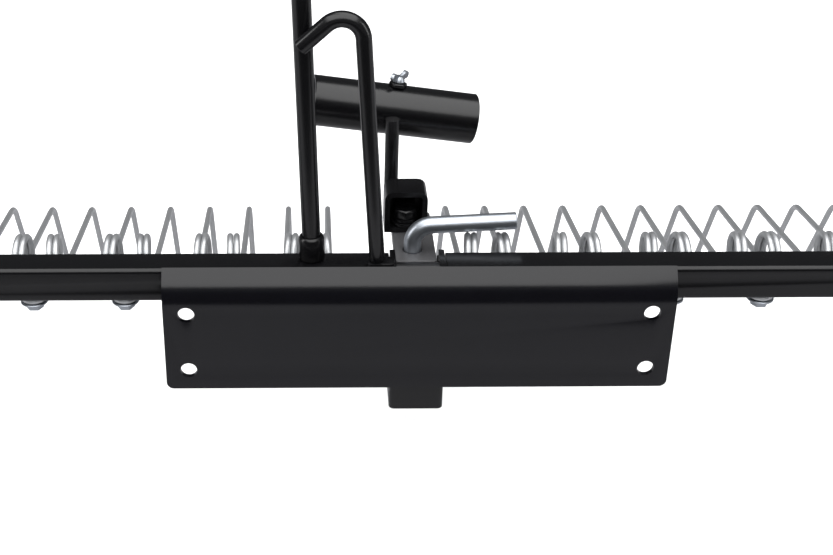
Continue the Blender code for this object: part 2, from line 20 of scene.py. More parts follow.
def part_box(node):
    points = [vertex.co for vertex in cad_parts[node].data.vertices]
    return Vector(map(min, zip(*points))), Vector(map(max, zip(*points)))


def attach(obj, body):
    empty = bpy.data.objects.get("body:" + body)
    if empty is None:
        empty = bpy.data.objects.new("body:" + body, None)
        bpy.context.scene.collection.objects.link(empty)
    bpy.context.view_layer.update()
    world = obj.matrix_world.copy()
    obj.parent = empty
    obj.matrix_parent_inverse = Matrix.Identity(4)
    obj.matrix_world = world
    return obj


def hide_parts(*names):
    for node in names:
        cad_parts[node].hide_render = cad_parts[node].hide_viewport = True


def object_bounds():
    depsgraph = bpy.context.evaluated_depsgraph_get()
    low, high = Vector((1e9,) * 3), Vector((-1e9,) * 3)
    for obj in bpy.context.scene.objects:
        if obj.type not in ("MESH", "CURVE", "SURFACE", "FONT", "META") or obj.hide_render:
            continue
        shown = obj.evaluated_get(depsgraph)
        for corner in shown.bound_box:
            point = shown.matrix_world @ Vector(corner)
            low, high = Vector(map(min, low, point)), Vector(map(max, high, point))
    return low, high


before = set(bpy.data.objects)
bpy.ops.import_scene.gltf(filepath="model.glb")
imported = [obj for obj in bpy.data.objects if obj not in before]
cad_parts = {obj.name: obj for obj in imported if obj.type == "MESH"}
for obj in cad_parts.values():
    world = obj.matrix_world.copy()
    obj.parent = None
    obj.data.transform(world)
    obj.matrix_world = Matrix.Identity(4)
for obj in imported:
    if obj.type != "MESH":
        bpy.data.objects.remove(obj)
CAD_LOW, CAD_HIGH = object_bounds()

MM = 0.001
LOG = logging.getLogger("dethatcher")

Point = tuple[float, float, float]
Flat = tuple[float, float]
Colour = tuple[float, float, float]
Shape = bmesh.types.BMesh
Fill = Callable[[Shape], None]


class Slot(Enum):
    """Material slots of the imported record."""

    BLACK_COAT = "black_coat"
    BRIGHT_ZINC = "bright_zinc"
    SPRING_STEEL = "spring_steel"
    SOFT_BLACK = "soft_black"


class Body(Enum):
    """Bodies that pieces ride on."""

    MOUNT = "mount"
    RAKE = "rake"
    HOOK = "hook"
    PIN = "pin"
    HOLDER = "holder"
    SCREW = "screw"


# ------------------------------------------------------------------ finishes

def join(links: bpy.types.NodeLinks, *rows: tuple) -> None:
    """Link nodes, each row being a node, its output, another node and its input."""
    for source, output, target, socket in rows:
        links.new(source.outputs[output], target.inputs[socket])


def declare(tree: bpy.types.NodeTree, way: str, kind: str, *names: str) -> None:
    """Give a node tree sockets of one kind."""
    for name in names:
        tree.interface.new_socket(name=name, in_out=way, socket_type="NodeSocket" + kind)


class NodeGroups:
    """Shader node groups shared by the finishes, each built once."""

    @classmethod
    @cache
    def grain(cls) -> bpy.types.NodeTree:
        """Fine surface grain.

        Returns:
            A group that puts out a colour between two, a roughness between two
            and a bumped normal.
        """
        tree = bpy.data.node_groups.new("surface_grain", "ShaderNodeTree")
        declare(tree, "INPUT", "Color", "Colour A", "Colour B")
        declare(tree, "INPUT", "Float", "Patch Scale", "Grain Scale", "Rough Low", "Rough High", "Depth",
                "Strength")
        declare(tree, "INPUT", "Vector", "Stretch")
        declare(tree, "OUTPUT", "Color", "Colour")
        declare(tree, "OUTPUT", "Float", "Roughness")
        declare(tree, "OUTPUT", "Vector", "Normal")
        nodes, links = tree.nodes, tree.links
        source = nodes.new("NodeGroupInput")
        result = nodes.new("NodeGroupOutput")
        place = nodes.new("ShaderNodeTexCoord")
        stretch = nodes.new("ShaderNodeVectorMath")
        stretch.operation = "MULTIPLY"
        links.new(place.outputs["Object"], stretch.inputs[0])
        links.new(source.outputs["Stretch"], stretch.inputs[1])
        patches = nodes.new("ShaderNodeTexNoise")
        patches.inputs["Detail"].default_value = 3.0
        grain = nodes.new("ShaderNodeTexNoise")
        grain.inputs["Detail"].default_value = 2.0
        for noise, scale in ((patches, "Patch Scale"), (grain, "Grain Scale")):
            links.new(stretch.outputs[0], noise.inputs["Vector"])
            links.new(source.outputs[scale], noise.inputs["Scale"])
        colour = nodes.new("ShaderNodeMix")
        colour.data_type = "RGBA"
        join(links, (patches, "Fac", colour, "Factor"), (source, "Colour A", colour, "A"),
             (source, "Colour B", colour, "B"))
        rough = nodes.new("ShaderNodeMapRange")
        join(links, (grain, "Fac", rough, "Value"), (source, "Rough Low", rough, "To Min"),
             (source, "Rough High", rough, "To Max"))
        bump = nodes.new("ShaderNodeBump")
        join(links, (grain, "Fac", bump, "Height"), (source, "Depth", bump, "Distance"),
             (source, "Strength", bump, "Strength"), (colour, "Result", result, "Colour"),
             (rough, "Result", result, "Roughness"), (bump, "Normal", result, "Normal"))
        return tree

    @classmethod
    @cache
    def specks(cls) -> bpy.types.NodeTree:
        """Sparse rubbed specks and dust.

        Returns:
            A group that mixes a second colour into a first in sparse spots.
        """
        tree = bpy.data.node_groups.new("rubbed_specks", "ShaderNodeTree")
        declare(tree, "INPUT", "Color", "Base", "Speck")
        declare(tree, "INPUT", "Float", "Scale", "Amount")
        declare(tree, "OUTPUT", "Color", "Colour")
        nodes, links = tree.nodes, tree.links
        source = nodes.new("NodeGroupInput")
        result = nodes.new("NodeGroupOutput")
        place = nodes.new("ShaderNodeTexCoord")
        noise = nodes.new("ShaderNodeTexNoise")
        noise.inputs["Detail"].default_value = 5.0
        links.new(place.outputs["Object"], noise.inputs["Vector"])
        links.new(source.outputs["Scale"], noise.inputs["Scale"])
        limit = nodes.new("ShaderNodeMapRange")
        limit.inputs["From Min"].default_value = 0.64
        limit.inputs["From Max"].default_value = 0.78
        links.new(noise.outputs["Fac"], limit.inputs["Value"])
        amount = nodes.new("ShaderNodeMath")
        amount.operation = "MULTIPLY"
        links.new(limit.outputs["Result"], amount.inputs[0])
        links.new(source.outputs["Amount"], amount.inputs[1])
        blend = nodes.new("ShaderNodeMix")
        blend.data_type = "RGBA"
        join(links, (amount, 0, blend, "Factor"), (source, "Base", blend, "A"),
             (source, "Speck", blend, "B"), (blend, "Result", result, "Colour"))
        return tree


@dataclass(frozen=True)
class Finish:
    """A surface finish with grain, patches and sparse specks."""

    name: str
    slot: Slot
    colour: Colour
    second: Colour
    speck: Colour
    roughness: Flat
    metallic: float = 0.0
    specular: float = 0.5
    patch_scale: float = 40.0
    grain_scale: float = 900.0
    stretch: Point = (1.0, 1.0, 1.0)
    depth: float = 0.00005
    strength: float = 0.2
    speck_scale: float = 160.0
    speck_amount: float = 0.25

    def material(self) -> bpy.types.Material:
        """Build the material once.

        Returns:
            The finish as a procedural material.
        """
        found = bpy.data.materials.get(self.name)
        if found:
            return found
        material = bpy.data.materials.new(self.name)
        material.use_nodes = True
        nodes, links = material.node_tree.nodes, material.node_tree.links
        shader = nodes["Principled BSDF"]
        shader.inputs["Metallic"].default_value = self.metallic
        shader.inputs["Specular IOR Level"].default_value = self.specular
        grain = nodes.new("ShaderNodeGroup")
        grain.node_tree = NodeGroups.grain()
        specks = nodes.new("ShaderNodeGroup")
        specks.node_tree = NodeGroups.specks()
        for group, values in (
                (grain, {"Colour A": (*self.colour, 1.0), "Colour B": (*self.second, 1.0),
                         "Patch Scale": self.patch_scale, "Grain Scale": self.grain_scale,
                         "Stretch": self.stretch, "Rough Low": self.roughness[0],
                         "Rough High": self.roughness[1], "Depth": self.depth,
                         "Strength": self.strength}),
                (specks, {"Speck": (*self.speck, 1.0), "Scale": self.speck_scale,
                          "Amount": self.speck_amount})):
            for label, value in values.items():
                group.inputs[label].default_value = value
        join(links, (grain, "Colour", specks, "Base"), (specks, "Colour", shader, "Base Color"),
             (grain, "Roughness", shader, "Roughness"), (grain, "Normal", shader, "Normal"))
        return material


BLACK_SHEET = Finish("black_coat_sheet", Slot.BLACK_COAT, (0.0016, 0.0016, 0.0024),
                     (0.0024, 0.0024, 0.0034), (0.010, 0.010, 0.012), (0.16, 0.22),
                     specular=0.34, speck_amount=0.06)
BLACK_ROD = Finish("black_coat_rod", Slot.BLACK_COAT, (0.0016, 0.0016, 0.0020), (0.0026, 0.0026, 0.0030),
                   (0.010, 0.010, 0.012), (0.20, 0.28), specular=0.42, speck_amount=0.06)
BLACK_BAR = Finish("black_coat_bar", Slot.BLACK_COAT, (0.0018, 0.0018, 0.0022), (0.0030, 0.0030, 0.0034),
                   (0.012, 0.012, 0.014), (0.20, 0.28), specular=0.34, speck_amount=0.06)
PLATED = Finish("bright_zinc_plate", Slot.BRIGHT_ZINC, (0.42, 0.45, 0.49), (0.48, 0.51, 0.55),
                (0.36, 0.39, 0.42), (0.34, 0.42), metallic=1.0, grain_scale=1400.0, depth=0.00002,
                strength=0.08, speck_amount=0.05)
# Base colour far lighter than the other black coats: a painted sheen standing in for the overhead light on
# the tongue's top face.
TONGUE_PAINTED_SHEEN = Finish("black_coat_tongue_painted_sheen", Slot.BLACK_COAT, (0.040, 0.040, 0.042), (0.048, 0.048, 0.050),
                      (0.07, 0.07, 0.07), (0.34, 0.42), specular=0.5, speck_amount=0.10)
WIRE = Finish("spring_wire", Slot.SPRING_STEEL, (0.40, 0.41, 0.42), (0.52, 0.53, 0.54),
              (0.24, 0.23, 0.22), (0.34, 0.50), metallic=0.85, grain_scale=1100.0,
              patch_scale=60.0, speck_amount=0.30)
# Near-black base colour: painted shade for the shadow inside the centre box; bare drawn steel would be far
# lighter.
SHAFT_PAINTED_SHADE = Finish("drawn_shaft_painted_shade", Slot.SPRING_STEEL, (0.05, 0.05, 0.053), (0.08, 0.08, 0.083),
                     (0.04, 0.04, 0.038), (0.34, 0.46), metallic=1.0, stretch=(0.08, 1.0, 1.0))
CAP_PLASTIC = Finish("cap_plastic", Slot.SOFT_BLACK, (0.014, 0.014, 0.015), (0.020, 0.020, 0.021),
                     (0.05, 0.05, 0.05), (0.42, 0.56), specular=0.4, depth=0.0001, strength=0.4)
GRIP_RUBBER = Finish("grip_rubber", Slot.SOFT_BLACK, (0.012, 0.012, 0.012), (0.019, 0.019, 0.019),
                     (0.06, 0.06, 0.055), (0.58, 0.74), specular=0.3, grain_scale=650.0,
                     depth=0.00012, strength=0.6)


# ------------------------------------------------------------------ workshop

class Workshop:
    """Shared ways of making a closed mesh piece."""

    @staticmethod
    def box(shape: Shape, low: Point, high: Point) -> None:
        """Add a box between two corners."""
        size = [b - a for a, b in zip(low, high)]
        middle = [(a + b) / 2 for a, b in zip(low, high)]
        place = Matrix.Translation(middle) @ Matrix.Diagonal((*size, 1.0))
        bmesh.ops.create_cube(shape, size=1.0, matrix=place)

    @staticmethod
    def rod(shape: Shape, start: Vector, end: Vector, radius: float,
            sides: int = 48, end_radius: float | None = None) -> None:
        """Add a cylinder or cone between two points.

        Args:
            shape: Mesh to add to.
            start: Centre of the first end.
            end: Centre of the last end.
            radius: Radius at the first end.
            sides: Number of sides.
            end_radius: Radius at the last end, or None for the same.
        """
        a, b = Vector(start), Vector(end)
        turn = (b - a).to_track_quat("Z", "Y").to_matrix().to_4x4()
        bmesh.ops.create_cone(shape, cap_ends=True, segments=sides, radius1=radius,
                              radius2=radius if end_radius is None else end_radius,
                              depth=(b - a).length, matrix=Matrix.Translation((a + b) / 2) @ turn)

    @staticmethod
    def extrude(shape: Shape, loop: Sequence[Point], along: Point) -> None:
        """Add the closed prism that a loop of points sweeps along a vector."""
        face = shape.faces.new([shape.verts.new(point) for point in loop])
        grown = bmesh.ops.extrude_face_region(shape, geom=[face])
        moved = [v for v in grown["geom"] if isinstance(v, bmesh.types.BMVert)]
        bmesh.ops.translate(shape, vec=along, verts=moved)

    @classmethod
    def prism(cls, shape: Shape, outline: Sequence[Flat], axis: int, start: float,
              length: float) -> None:
        """Add a prism on a flat outline.

        Args:
            shape: Mesh to add to.
            outline: Closed outline in the two other axes.
            axis: 0, 1 or 2, the axis that the prism runs along.
            start: Where it starts on that axis.
            length: How far it runs.
        """
        loop = [(*point[:axis], start, *point[axis:]) for point in outline]
        cls.extrude(shape, loop, [length if i == axis else 0 for i in range(3)])

    @classmethod
    def slab(cls, shape: Shape, low: Vector, high: Vector, axis: int, radius: float,
             steps: int, inset: float = 0.0, past: float = 0.0) -> None:
        """Add a box whose edges along one axis are round.

        Args:
            shape: Mesh to add to.
            low: Its lowest corner.
            high: Its highest corner.
            axis: 0, 1 or 2, the axis of the round edges.
            radius: Their radius.
            steps: Their segments.
            inset: How much smaller it is on its four sides.
            past: How far it runs past both ends.
        """
        first, second = (i for i in range(3) if i != axis)
        outline = cls.round_box((low[first] + inset, low[second] + inset),
                                (high[first] - inset, high[second] - inset), radius, steps)
        cls.prism(shape, outline, axis, low[axis] - past, high[axis] - low[axis] + 2 * past)

    @staticmethod
    def turn(shape: Shape, profile: Sequence[Flat], foot: Vector, axis: Vector,
             sides: int = 48) -> None:
        """Add a turned closed shape.

        Args:
            shape: Mesh to add to.
            profile: Closed loop of (radius, height) points, no radius at zero
                unless the loop starts and ends there.
            foot: Point of the axis at height zero.
            axis: Direction of the axis.
            sides: Number of steps round the axis.
        """
        aim = Vector(axis).to_track_quat("Z", "Y").to_matrix().to_4x4()
        place = Matrix.Translation(foot) @ aim
        rings = []
        for radius, height in profile:
            if radius < 1e-6:
                rings.append([shape.verts.new(place @ Vector((0, 0, height)))] * sides)
                continue
            rings.append([shape.verts.new(place @ Vector((
                radius * math.cos(2 * math.pi * i / sides),
                radius * math.sin(2 * math.pi * i / sides), height))) for i in range(sides)])
        closed = profile[0][0] > 1e-6
        pairs = list(zip(rings, rings[1:] + (rings[:1] if closed else [])))
        for low, high in pairs if closed else pairs[:len(rings) - 1]:
            for i in range(sides):
                j = (i + 1) % sides
                corners = list(dict.fromkeys((low[i], low[j], high[j], high[i])))
                if len(corners) > 2:
                    shape.faces.new(corners)

    @staticmethod
    def mesh(fill: Fill, name: str) -> bpy.types.Mesh:
        """A mesh in metres from a function that fills a bmesh in millimetres."""
        shape = bmesh.new()
        fill(shape)
        bmesh.ops.recalc_face_normals(shape, faces=shape.faces)
        bmesh.ops.scale(shape, vec=(MM, MM, MM), verts=shape.verts)
        result = bpy.data.meshes.new(name)
        shape.to_mesh(result)
        shape.free()
        return result

    @staticmethod
    def plain(piece: bpy.types.Object, finish: Finish, smooth_angle: float = 32.0) -> bpy.types.Object:
        """Turn a modified object into a plain mesh piece.

        Args:
            piece: Object with its modifiers.
            finish: Finish of the piece.
            smooth_angle: Edges sharper than this many degrees stay sharp.

        Returns:
            The same object with a plain mesh and no modifier.
        """
        bpy.context.view_layer.update()
        graph = bpy.context.evaluated_depsgraph_get()
        mesh = bpy.data.meshes.new_from_object(piece.evaluated_get(graph), depsgraph=graph)
        piece.modifiers.clear()
        piece.data = mesh
        mesh.name = piece.name
        mesh.materials.clear()
        mesh.materials.append(finish.material())
        mesh.shade_smooth()
        mesh.set_sharp_from_angle(angle=math.radians(smooth_angle))
        return piece

    @classmethod
    def solid(cls, name: str, fill: Fill, finish: Finish, joins: Sequence[Fill] = (),
              cuts: Sequence[Fill] = (), edge: float = 0.5, steps: int = 2) -> bpy.types.Object:
        """A solid piece with shapes joined on, shapes cut away and its edges rounded.

        Args:
            name: Name of the piece.
            fill: Function that fills the base shape.
            finish: Finish of the piece.
            joins: Functions for the shapes joined to it.
            cuts: Functions for the shapes cut from it.
            edge: Width of the rounded edges, in millimetres.
            steps: Segments of the rounded edges.

        Returns:
            The finished piece.
        """
        piece = bpy.data.objects.new(name, cls.mesh(fill, name))
        bpy.context.scene.collection.objects.link(piece)
        tools = []
        for kind, fills in (("UNION", joins), ("DIFFERENCE", cuts)):
            for shape in fills:
                tool = bpy.data.objects.new(name + "_tool", cls.mesh(shape, name + "_tool"))
                bpy.context.scene.collection.objects.link(tool)
                tools.append(tool)
                cut = piece.modifiers.new(kind.lower(), "BOOLEAN")
                cut.operation = kind
                cut.solver = "EXACT"
                cut.object = tool
        if edge > 0:
            bevel = piece.modifiers.new("edges", "BEVEL")
            bevel.width = edge * MM
            bevel.segments = steps
            bevel.limit_method = "ANGLE"
            bevel.angle_limit = math.radians(40)
            bevel.use_clamp_overlap = True
        cls.plain(piece, finish)
        for tool in tools:
            bpy.data.objects.remove(tool, do_unlink=True)
        return piece

    @classmethod
    def bent_rod(cls, name: str, path: Sequence[Point], radius: float, finish: Finish,
                 sides: int = 28, edge: float = 0.5) -> bpy.types.Object:
        """A round rod swept along a path by a geometry node tree.

        Args:
            name: Name of the piece.
            path: Centre line in millimetres.
            radius: Rod radius in millimetres.
            finish: Finish of the piece.
            sides: Number of sides.
            edge: Rounding of the cut ends, in millimetres.

        Returns:
            The finished piece.
        """
        line = bpy.data.meshes.new(name + "_line")
        steps = range(len(path) - 1)
        line.from_pydata([Vector(p) * MM for p in path], [(i, i + 1) for i in steps], [])
        piece = bpy.data.objects.new(name, line)
        bpy.context.scene.collection.objects.link(piece)
        NodeTrees.apply(piece, NodeTrees.rod_along_line(),
                        {"Radius": radius * MM, "Sides": sides, "Finish": finish.material()})
        if edge > 0:
            bevel = piece.modifiers.new("edges", "BEVEL")
            bevel.width = edge * MM
            bevel.segments = 3
            bevel.limit_method = "ANGLE"
            bevel.angle_limit = math.radians(60)
        return cls.plain(piece, finish, 60.0)

    @staticmethod
    def arc(centre: Flat, radius: float, start: float, sweep: float, steps: int) -> list[Flat]:
        """Points on a flat arc, both ends included."""
        angles = [start + sweep * i / steps for i in range(steps + 1)]
        return [(centre[0] + radius * math.cos(a), centre[1] + radius * math.sin(a)) for a in angles]

    @classmethod
    def round_box(cls, low: Flat, high: Flat, radius: float, steps: int = 5) -> list[Flat]:
        """Closed outline of a box with round corners, going anticlockwise."""
        corners = ((high[0] - radius, high[1] - radius), (low[0] + radius, high[1] - radius),
                   (low[0] + radius, low[1] + radius), (high[0] - radius, low[1] + radius))
        outline: list[Flat] = []
        for index, corner in enumerate(corners):
            outline += cls.arc(corner, radius, index * math.pi / 2, math.pi / 2, steps)
        return outline

    @classmethod
    def hex_head(cls, shape: Shape, foot: Vector, axis: Vector, across: float,
                 height: float, chamfer: float = 0.9) -> None:
        """Add a hexagon head whose top corners are turned off."""
        corner = across / math.sqrt(3)
        top = Vector(foot) + Vector(axis).normalized() * (height - chamfer)
        end = Vector(foot) + Vector(axis).normalized() * height
        cls.rod(shape, foot, top, corner, 6)
        cls.rod(shape, top, end, corner, 6, corner - chamfer)
        bmesh.ops.remove_doubles(shape, verts=shape.verts, dist=0.001)
        seam = [f for f in shape.faces if len(f.verts) == 6
                and (f.calc_center_median() - top).length < 0.01]
        bmesh.ops.delete(shape, geom=seam, context="FACES_ONLY")


class NodeTrees:
    """Geometry node trees for what is swept or repeated."""

    @staticmethod
    def start(name: str, inputs: Sequence[tuple[str, str]]) -> tuple[
            bpy.types.NodeTree, bpy.types.Node, bpy.types.Node]:
        """Open a tree with named inputs.

        Args:
            name: Name of the tree.
            inputs: Pairs of input name and socket type.

        Returns:
            The tree, its input node and its output node.
        """
        tree = bpy.data.node_groups.new(name, "GeometryNodeTree")
        tree.interface.new_socket(name="Geometry", in_out="INPUT", socket_type="NodeSocketGeometry")
        for label, kind in inputs:
            tree.interface.new_socket(name=label, in_out="INPUT", socket_type=kind)
        tree.interface.new_socket(name="Geometry", in_out="OUTPUT", socket_type="NodeSocketGeometry")
        return tree, tree.nodes.new("NodeGroupInput"), tree.nodes.new("NodeGroupOutput")

    @staticmethod
    def close(tree: bpy.types.NodeTree, made: bpy.types.NodeSocket, source: bpy.types.Node,
              result: bpy.types.Node) -> None:
        """End a tree with Realize Instances and Set Material."""
        real = tree.nodes.new("GeometryNodeRealizeInstances")
        paint = tree.nodes.new("GeometryNodeSetMaterial")
        tree.links.new(made, real.inputs["Geometry"])
        tree.links.new(real.outputs["Geometry"], paint.inputs["Geometry"])
        tree.links.new(source.outputs["Finish"], paint.inputs["Material"])
        tree.links.new(paint.outputs["Geometry"], result.inputs["Geometry"])

    @staticmethod
    def apply(piece: bpy.types.Object, tree: bpy.types.NodeTree, values: dict[str, object]) -> None:
        """Put a tree on a piece and set its inputs by their identifiers."""
        modifier = piece.modifiers.new(tree.name, "NODES")
        modifier.node_group = tree
        for item in tree.interface.items_tree:
            if item.in_out == "INPUT" and item.name in values:
                modifier[item.identifier] = values[item.name]

    @classmethod
    @cache
    def rod_along_line(cls) -> bpy.types.NodeTree:
        """A tree that sweeps a round section along a line of edges."""
        tree, source, result = cls.start("rod_along_line", (
            ("Radius", "NodeSocketFloat"), ("Sides", "NodeSocketInt"),
            ("Finish", "NodeSocketMaterial")))
        nodes, links = tree.nodes, tree.links
        curve = nodes.new("GeometryNodeMeshToCurve")
        ring = nodes.new("GeometryNodeCurvePrimitiveCircle")
        sweep = nodes.new("GeometryNodeCurveToMesh")
        sweep.inputs["Fill Caps"].default_value = True
        weld = nodes.new("GeometryNodeMergeByDistance")
        weld.inputs["Distance"].default_value = 0.000001
        join(links, (source, "Geometry", curve, "Mesh"), (source, "Radius", ring, "Radius"),
             (source, "Sides", ring, "Resolution"), (curve, "Curve", sweep, "Curve"),
             (ring, "Curve", sweep, "Profile Curve"), (sweep, "Mesh", weld, "Geometry"))
        cls.close(tree, weld.outputs["Geometry"], source, result)
        return tree

    @classmethod
    @cache
    def screw_row(cls) -> bpy.types.NodeTree:
        """A tree that sets a hexagon screw with its washer on every point."""
        tree, source, result = cls.start("screw_row", (
            ("Head Radius", "NodeSocketFloat"), ("Head Height", "NodeSocketFloat"),
            ("Washer Radius", "NodeSocketFloat"), ("Washer Height", "NodeSocketFloat"),
            ("Finish", "NodeSocketMaterial")))
        nodes, links = tree.nodes, tree.links
        joined = nodes.new("GeometryNodeJoinGeometry")
        drop = nodes.new("ShaderNodeMath")
        drop.operation = "ADD"
        links.new(source.outputs["Head Height"], drop.inputs[0])
        links.new(source.outputs["Washer Height"], drop.inputs[1])
        half = nodes.new("ShaderNodeMath")
        half.operation = "MULTIPLY"
        half.inputs[1].default_value = -0.5
        links.new(drop.outputs[0], half.inputs[0])
        place = nodes.new("ShaderNodeCombineXYZ")
        links.new(half.outputs[0], place.inputs["Z"])
        for sides, radius, height, moved in ((6, "Head Radius", "Head Height", True),
                                             (24, "Washer Radius", "Washer Height", False)):
            disc = nodes.new("GeometryNodeMeshCylinder")
            disc.inputs["Vertices"].default_value = sides
            links.new(source.outputs[radius], disc.inputs["Radius"])
            links.new(source.outputs[height], disc.inputs["Depth"])
            shift = nodes.new("GeometryNodeTransform")
            links.new(disc.outputs["Mesh"], shift.inputs["Geometry"])
            if moved:
                links.new(place.outputs["Vector"], shift.inputs["Translation"])
            links.new(shift.outputs["Geometry"], joined.inputs["Geometry"])
        spread = nodes.new("GeometryNodeInstanceOnPoints")
        links.new(source.outputs["Geometry"], spread.inputs["Points"])
        links.new(joined.outputs["Geometry"], spread.inputs["Instance"])
        cls.close(tree, spread.outputs["Instances"], source, result)
        return tree


def hand_over(piece: bpy.types.Object, body: Body, finish: Finish, *nodes: str) -> None:
    """Give a finished piece to its body and the nodes it stands for.

    Args:
        piece: The finished piece.
        body: Body that it rides on.
        finish: Its finish; not used.
        nodes: CAD nodes that it stands for.
    """
    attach(piece, body.value)
    if nodes:
        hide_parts(*nodes)
    LOG.info("%s: %d faces on %s", piece.name, len(piece.data.polygons), body.value)


def using(make: Callable[..., None], *values: object) -> Fill:
    """A function that adds one shape, made by a Workshop method from set values."""
    return lambda shape: make(shape, *values)


def build_piece(body: Body, node: str, name: str, fill: Fill, finish: Finish, **shaping: object) -> None:
    """Make a solid piece that stands for one CAD node.

    Args:
        body: Body that it rides on.
        node: CAD node that it stands for.
        name: Name of the piece.
        fill: Function that fills its base shape.
        finish: Its finish.
        shaping: What Workshop.solid takes besides these.
    """
    hand_over(Workshop.solid(name, fill, finish, **shaping), body, finish, node)


def node_box(node: str) -> tuple[Vector, Vector]:
    """Lowest and highest corner of a CAD node, in millimetres."""
    low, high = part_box(node)
    return low / MM, high / MM


# --------------------------------------------------------------- mount pieces

@dataclass
class MountPlate:
    """Bent sheet with four bolt holes and round lower corners."""

    thick: float = 3.0
    bend_start: float = 22.0
    bend_radius: float = 22.0
    bend_angle: float = math.radians(40.0)
    lip: float = 6.9
    corner: float = 4.0
    hole_radius: float = 4.5
    hole_x: float = 125.0
    hole_z: float = 17.5
    bend_steps: int = 20

    def line(self, offset: float, bottom: float) -> list[Flat]:
        """The sheet's bent line in (y, z) at a distance behind its front face."""
        points = [(offset, bottom)]
        points += Workshop.arc((self.bend_radius, self.bend_start), self.bend_radius - offset,
                               math.pi, -self.bend_angle, self.bend_steps)
        last = points[-1]
        points.append((last[0] + self.lip * math.sin(self.bend_angle),
                       last[1] + self.lip * math.cos(self.bend_angle)))
        return points

    def build(self) -> None:
        """Make the plate and put it on the mount."""
        low, high = node_box("mount_plate")

        def sheet(shape: Shape) -> None:
            """The bent sheet."""
            loop = self.line(0.0, low.z) + self.line(self.thick, low.z)[::-1]
            Workshop.extrude(shape, [(low.x, y, z) for y, z in loop], (high.x - low.x, 0, 0))

        def holes(shape: Shape) -> None:
            """The four bolt holes."""
            for x in (-self.hole_x, self.hole_x):
                for z in (-self.hole_z, self.hole_z):
                    Workshop.rod(shape, (x, -2, z), (x, self.thick + 2, z), self.hole_radius, 56)

        def corners(shape: Shape) -> None:
            """What the two round lower corners leave out."""
            r = self.corner
            for x, side in ((low.x, 1), (high.x, -1)):
                loop = [(x - side, low.z - 1), (x + side * r, low.z - 1)]
                arc = Workshop.arc((r, r), r, -math.pi / 2, -math.pi / 2, 10)
                loop += [(x + side * a, low.z + b) for a, b in arc]
                loop.append((x - side, low.z + r))
                Workshop.extrude(shape, [(a, -2, b) for a, b in loop], (0, self.thick + 4, 0))

        build_piece(Body.MOUNT, "mount_plate", "bent_mount_plate", sheet, BLACK_SHEET,
                    cuts=(holes, corners), edge=0.55, steps=3)


@dataclass
class CentreBox:
    """Rectangular tube behind the plate, with round corners and a bored cheek each side."""

    wall: float = 3.0
    corner: float = 3.2
    notch_y: float = 12.8
    notch_z: float = 16.0
    bore_radius: float = 7.75
    cheek_rear: float = 35.5
    rear_top: float = 30.0
    slot_floor: float = 23.7
    slot_half: float = 11.9
    axis: Flat = (24.5, 27.3)

    def build(self) -> None:
        """Make the box and put it on the mount."""
        low, high = node_box("centre_box")
        section = using(Workshop.slab, low, high, 2, self.corner, 7)
        hollow = using(Workshop.slab, low, high, 2, 1.2, 4, self.wall, 2)
        notch = using(Workshop.box, (low.x - 2, 0, self.notch_z), (high.x + 2, self.notch_y, high.z + 3))
        rear_step = using(Workshop.box, (low.x - 2, self.cheek_rear, self.rear_top),
                          (high.x + 2, high.y + 3, high.z + 3))
        tongue_slot = using(Workshop.box, (-self.slot_half, self.cheek_rear - 1, self.slot_floor),
                            (self.slot_half, high.y + 4, self.rear_top + 2))

        def bore(shape: Shape) -> None:
            """The bore for the pivot shaft."""
            y, z = self.axis
            Workshop.rod(shape, (low.x - 3, y, z), (high.x + 3, y, z), self.bore_radius, 48)

        build_piece(Body.MOUNT, "centre_box", "centre_box_tube", section, BLACK_BAR,
                    cuts=(hollow, notch, rear_step, tongue_slot, bore), edge=0.35)


@dataclass
class Tongue:
    """Flat hitch tongue with a hole for the pin and one for the swivel bolt."""

    corner: float = 2.2
    pin: Point = (-1.3, 50.0, 5.3)
    swivel: Point = (-4.0, 77.0, 4.4)

    def build(self) -> None:
        """Make the tongue and put it on the mount."""
        low, high = node_box("hitch_tongue")
        flat = using(Workshop.slab, low, high, 2, self.corner, 5)

        def holes(shape: Shape) -> None:
            """The two holes."""
            for x, y, radius in (self.pin, self.swivel):
                Workshop.rod(shape, (x, y, low.z - 2), (x, y, high.z + 2), radius, 40)

        build_piece(Body.MOUNT, "hitch_tongue", "hitch_tongue_bar", flat, TONGUE_PAINTED_SHEEN, cuts=(holes,),
                    edge=0.6)


@dataclass
class Swivel:
    """Bolt, nut and washers that the tube holder turns on."""

    centre: Flat = (-4.0, 77.0)
    shank: float = 4.0
    across: float = 12.8
    head: float = 5.3
    play: float = 0.35

    def build(self) -> None:
        """Make the bolt, the nut and both washers."""
        x, y = self.centre
        up = Vector((0, 0, 1))
        low, high = node_box("swivel_bolt")
        shank = using(Workshop.rod, (x, y, low.z), (x, y, high.z - self.head + 0.4), self.shank)
        head = using(Workshop.hex_head, Vector((x, y, high.z - self.head)), up, self.across, self.head)

        build_piece(Body.MOUNT, "swivel_bolt", "swivel_hex_bolt", shank, BLACK_ROD, joins=(head,),
                    edge=0.25)

        low, high = node_box("swivel_nut")
        nut = using(Workshop.hex_head, Vector((x, y, high.z)), -up, self.across, high.z - low.z)
        thread = using(Workshop.rod, (x, y, low.z - 2), (x, y, high.z + 2), self.shank + self.play)

        build_piece(Body.MOUNT, "swivel_nut", "swivel_hex_nut", nut, PLATED, cuts=(thread,), edge=0.25)

        for label in ("lower", "upper"):
            node = "swivel_washer_" + label
            low, high = node_box(node)
            outer = (high.x - low.x) / 2
            inner = self.shank + self.play
            thick = high.z - low.z
            profile = ((inner, 0), (outer, 0), (outer, thick), (inner, thick))
            build_piece(Body.HOLDER, node, f"{label}_swivel_washer",
                        lambda shape, p=profile, z=low.z: Workshop.turn(shape, p, Vector((x, y, z)), up),
                        BLACK_ROD, edge=0.3)


# ------------------------------------------------------------------ hitch pin

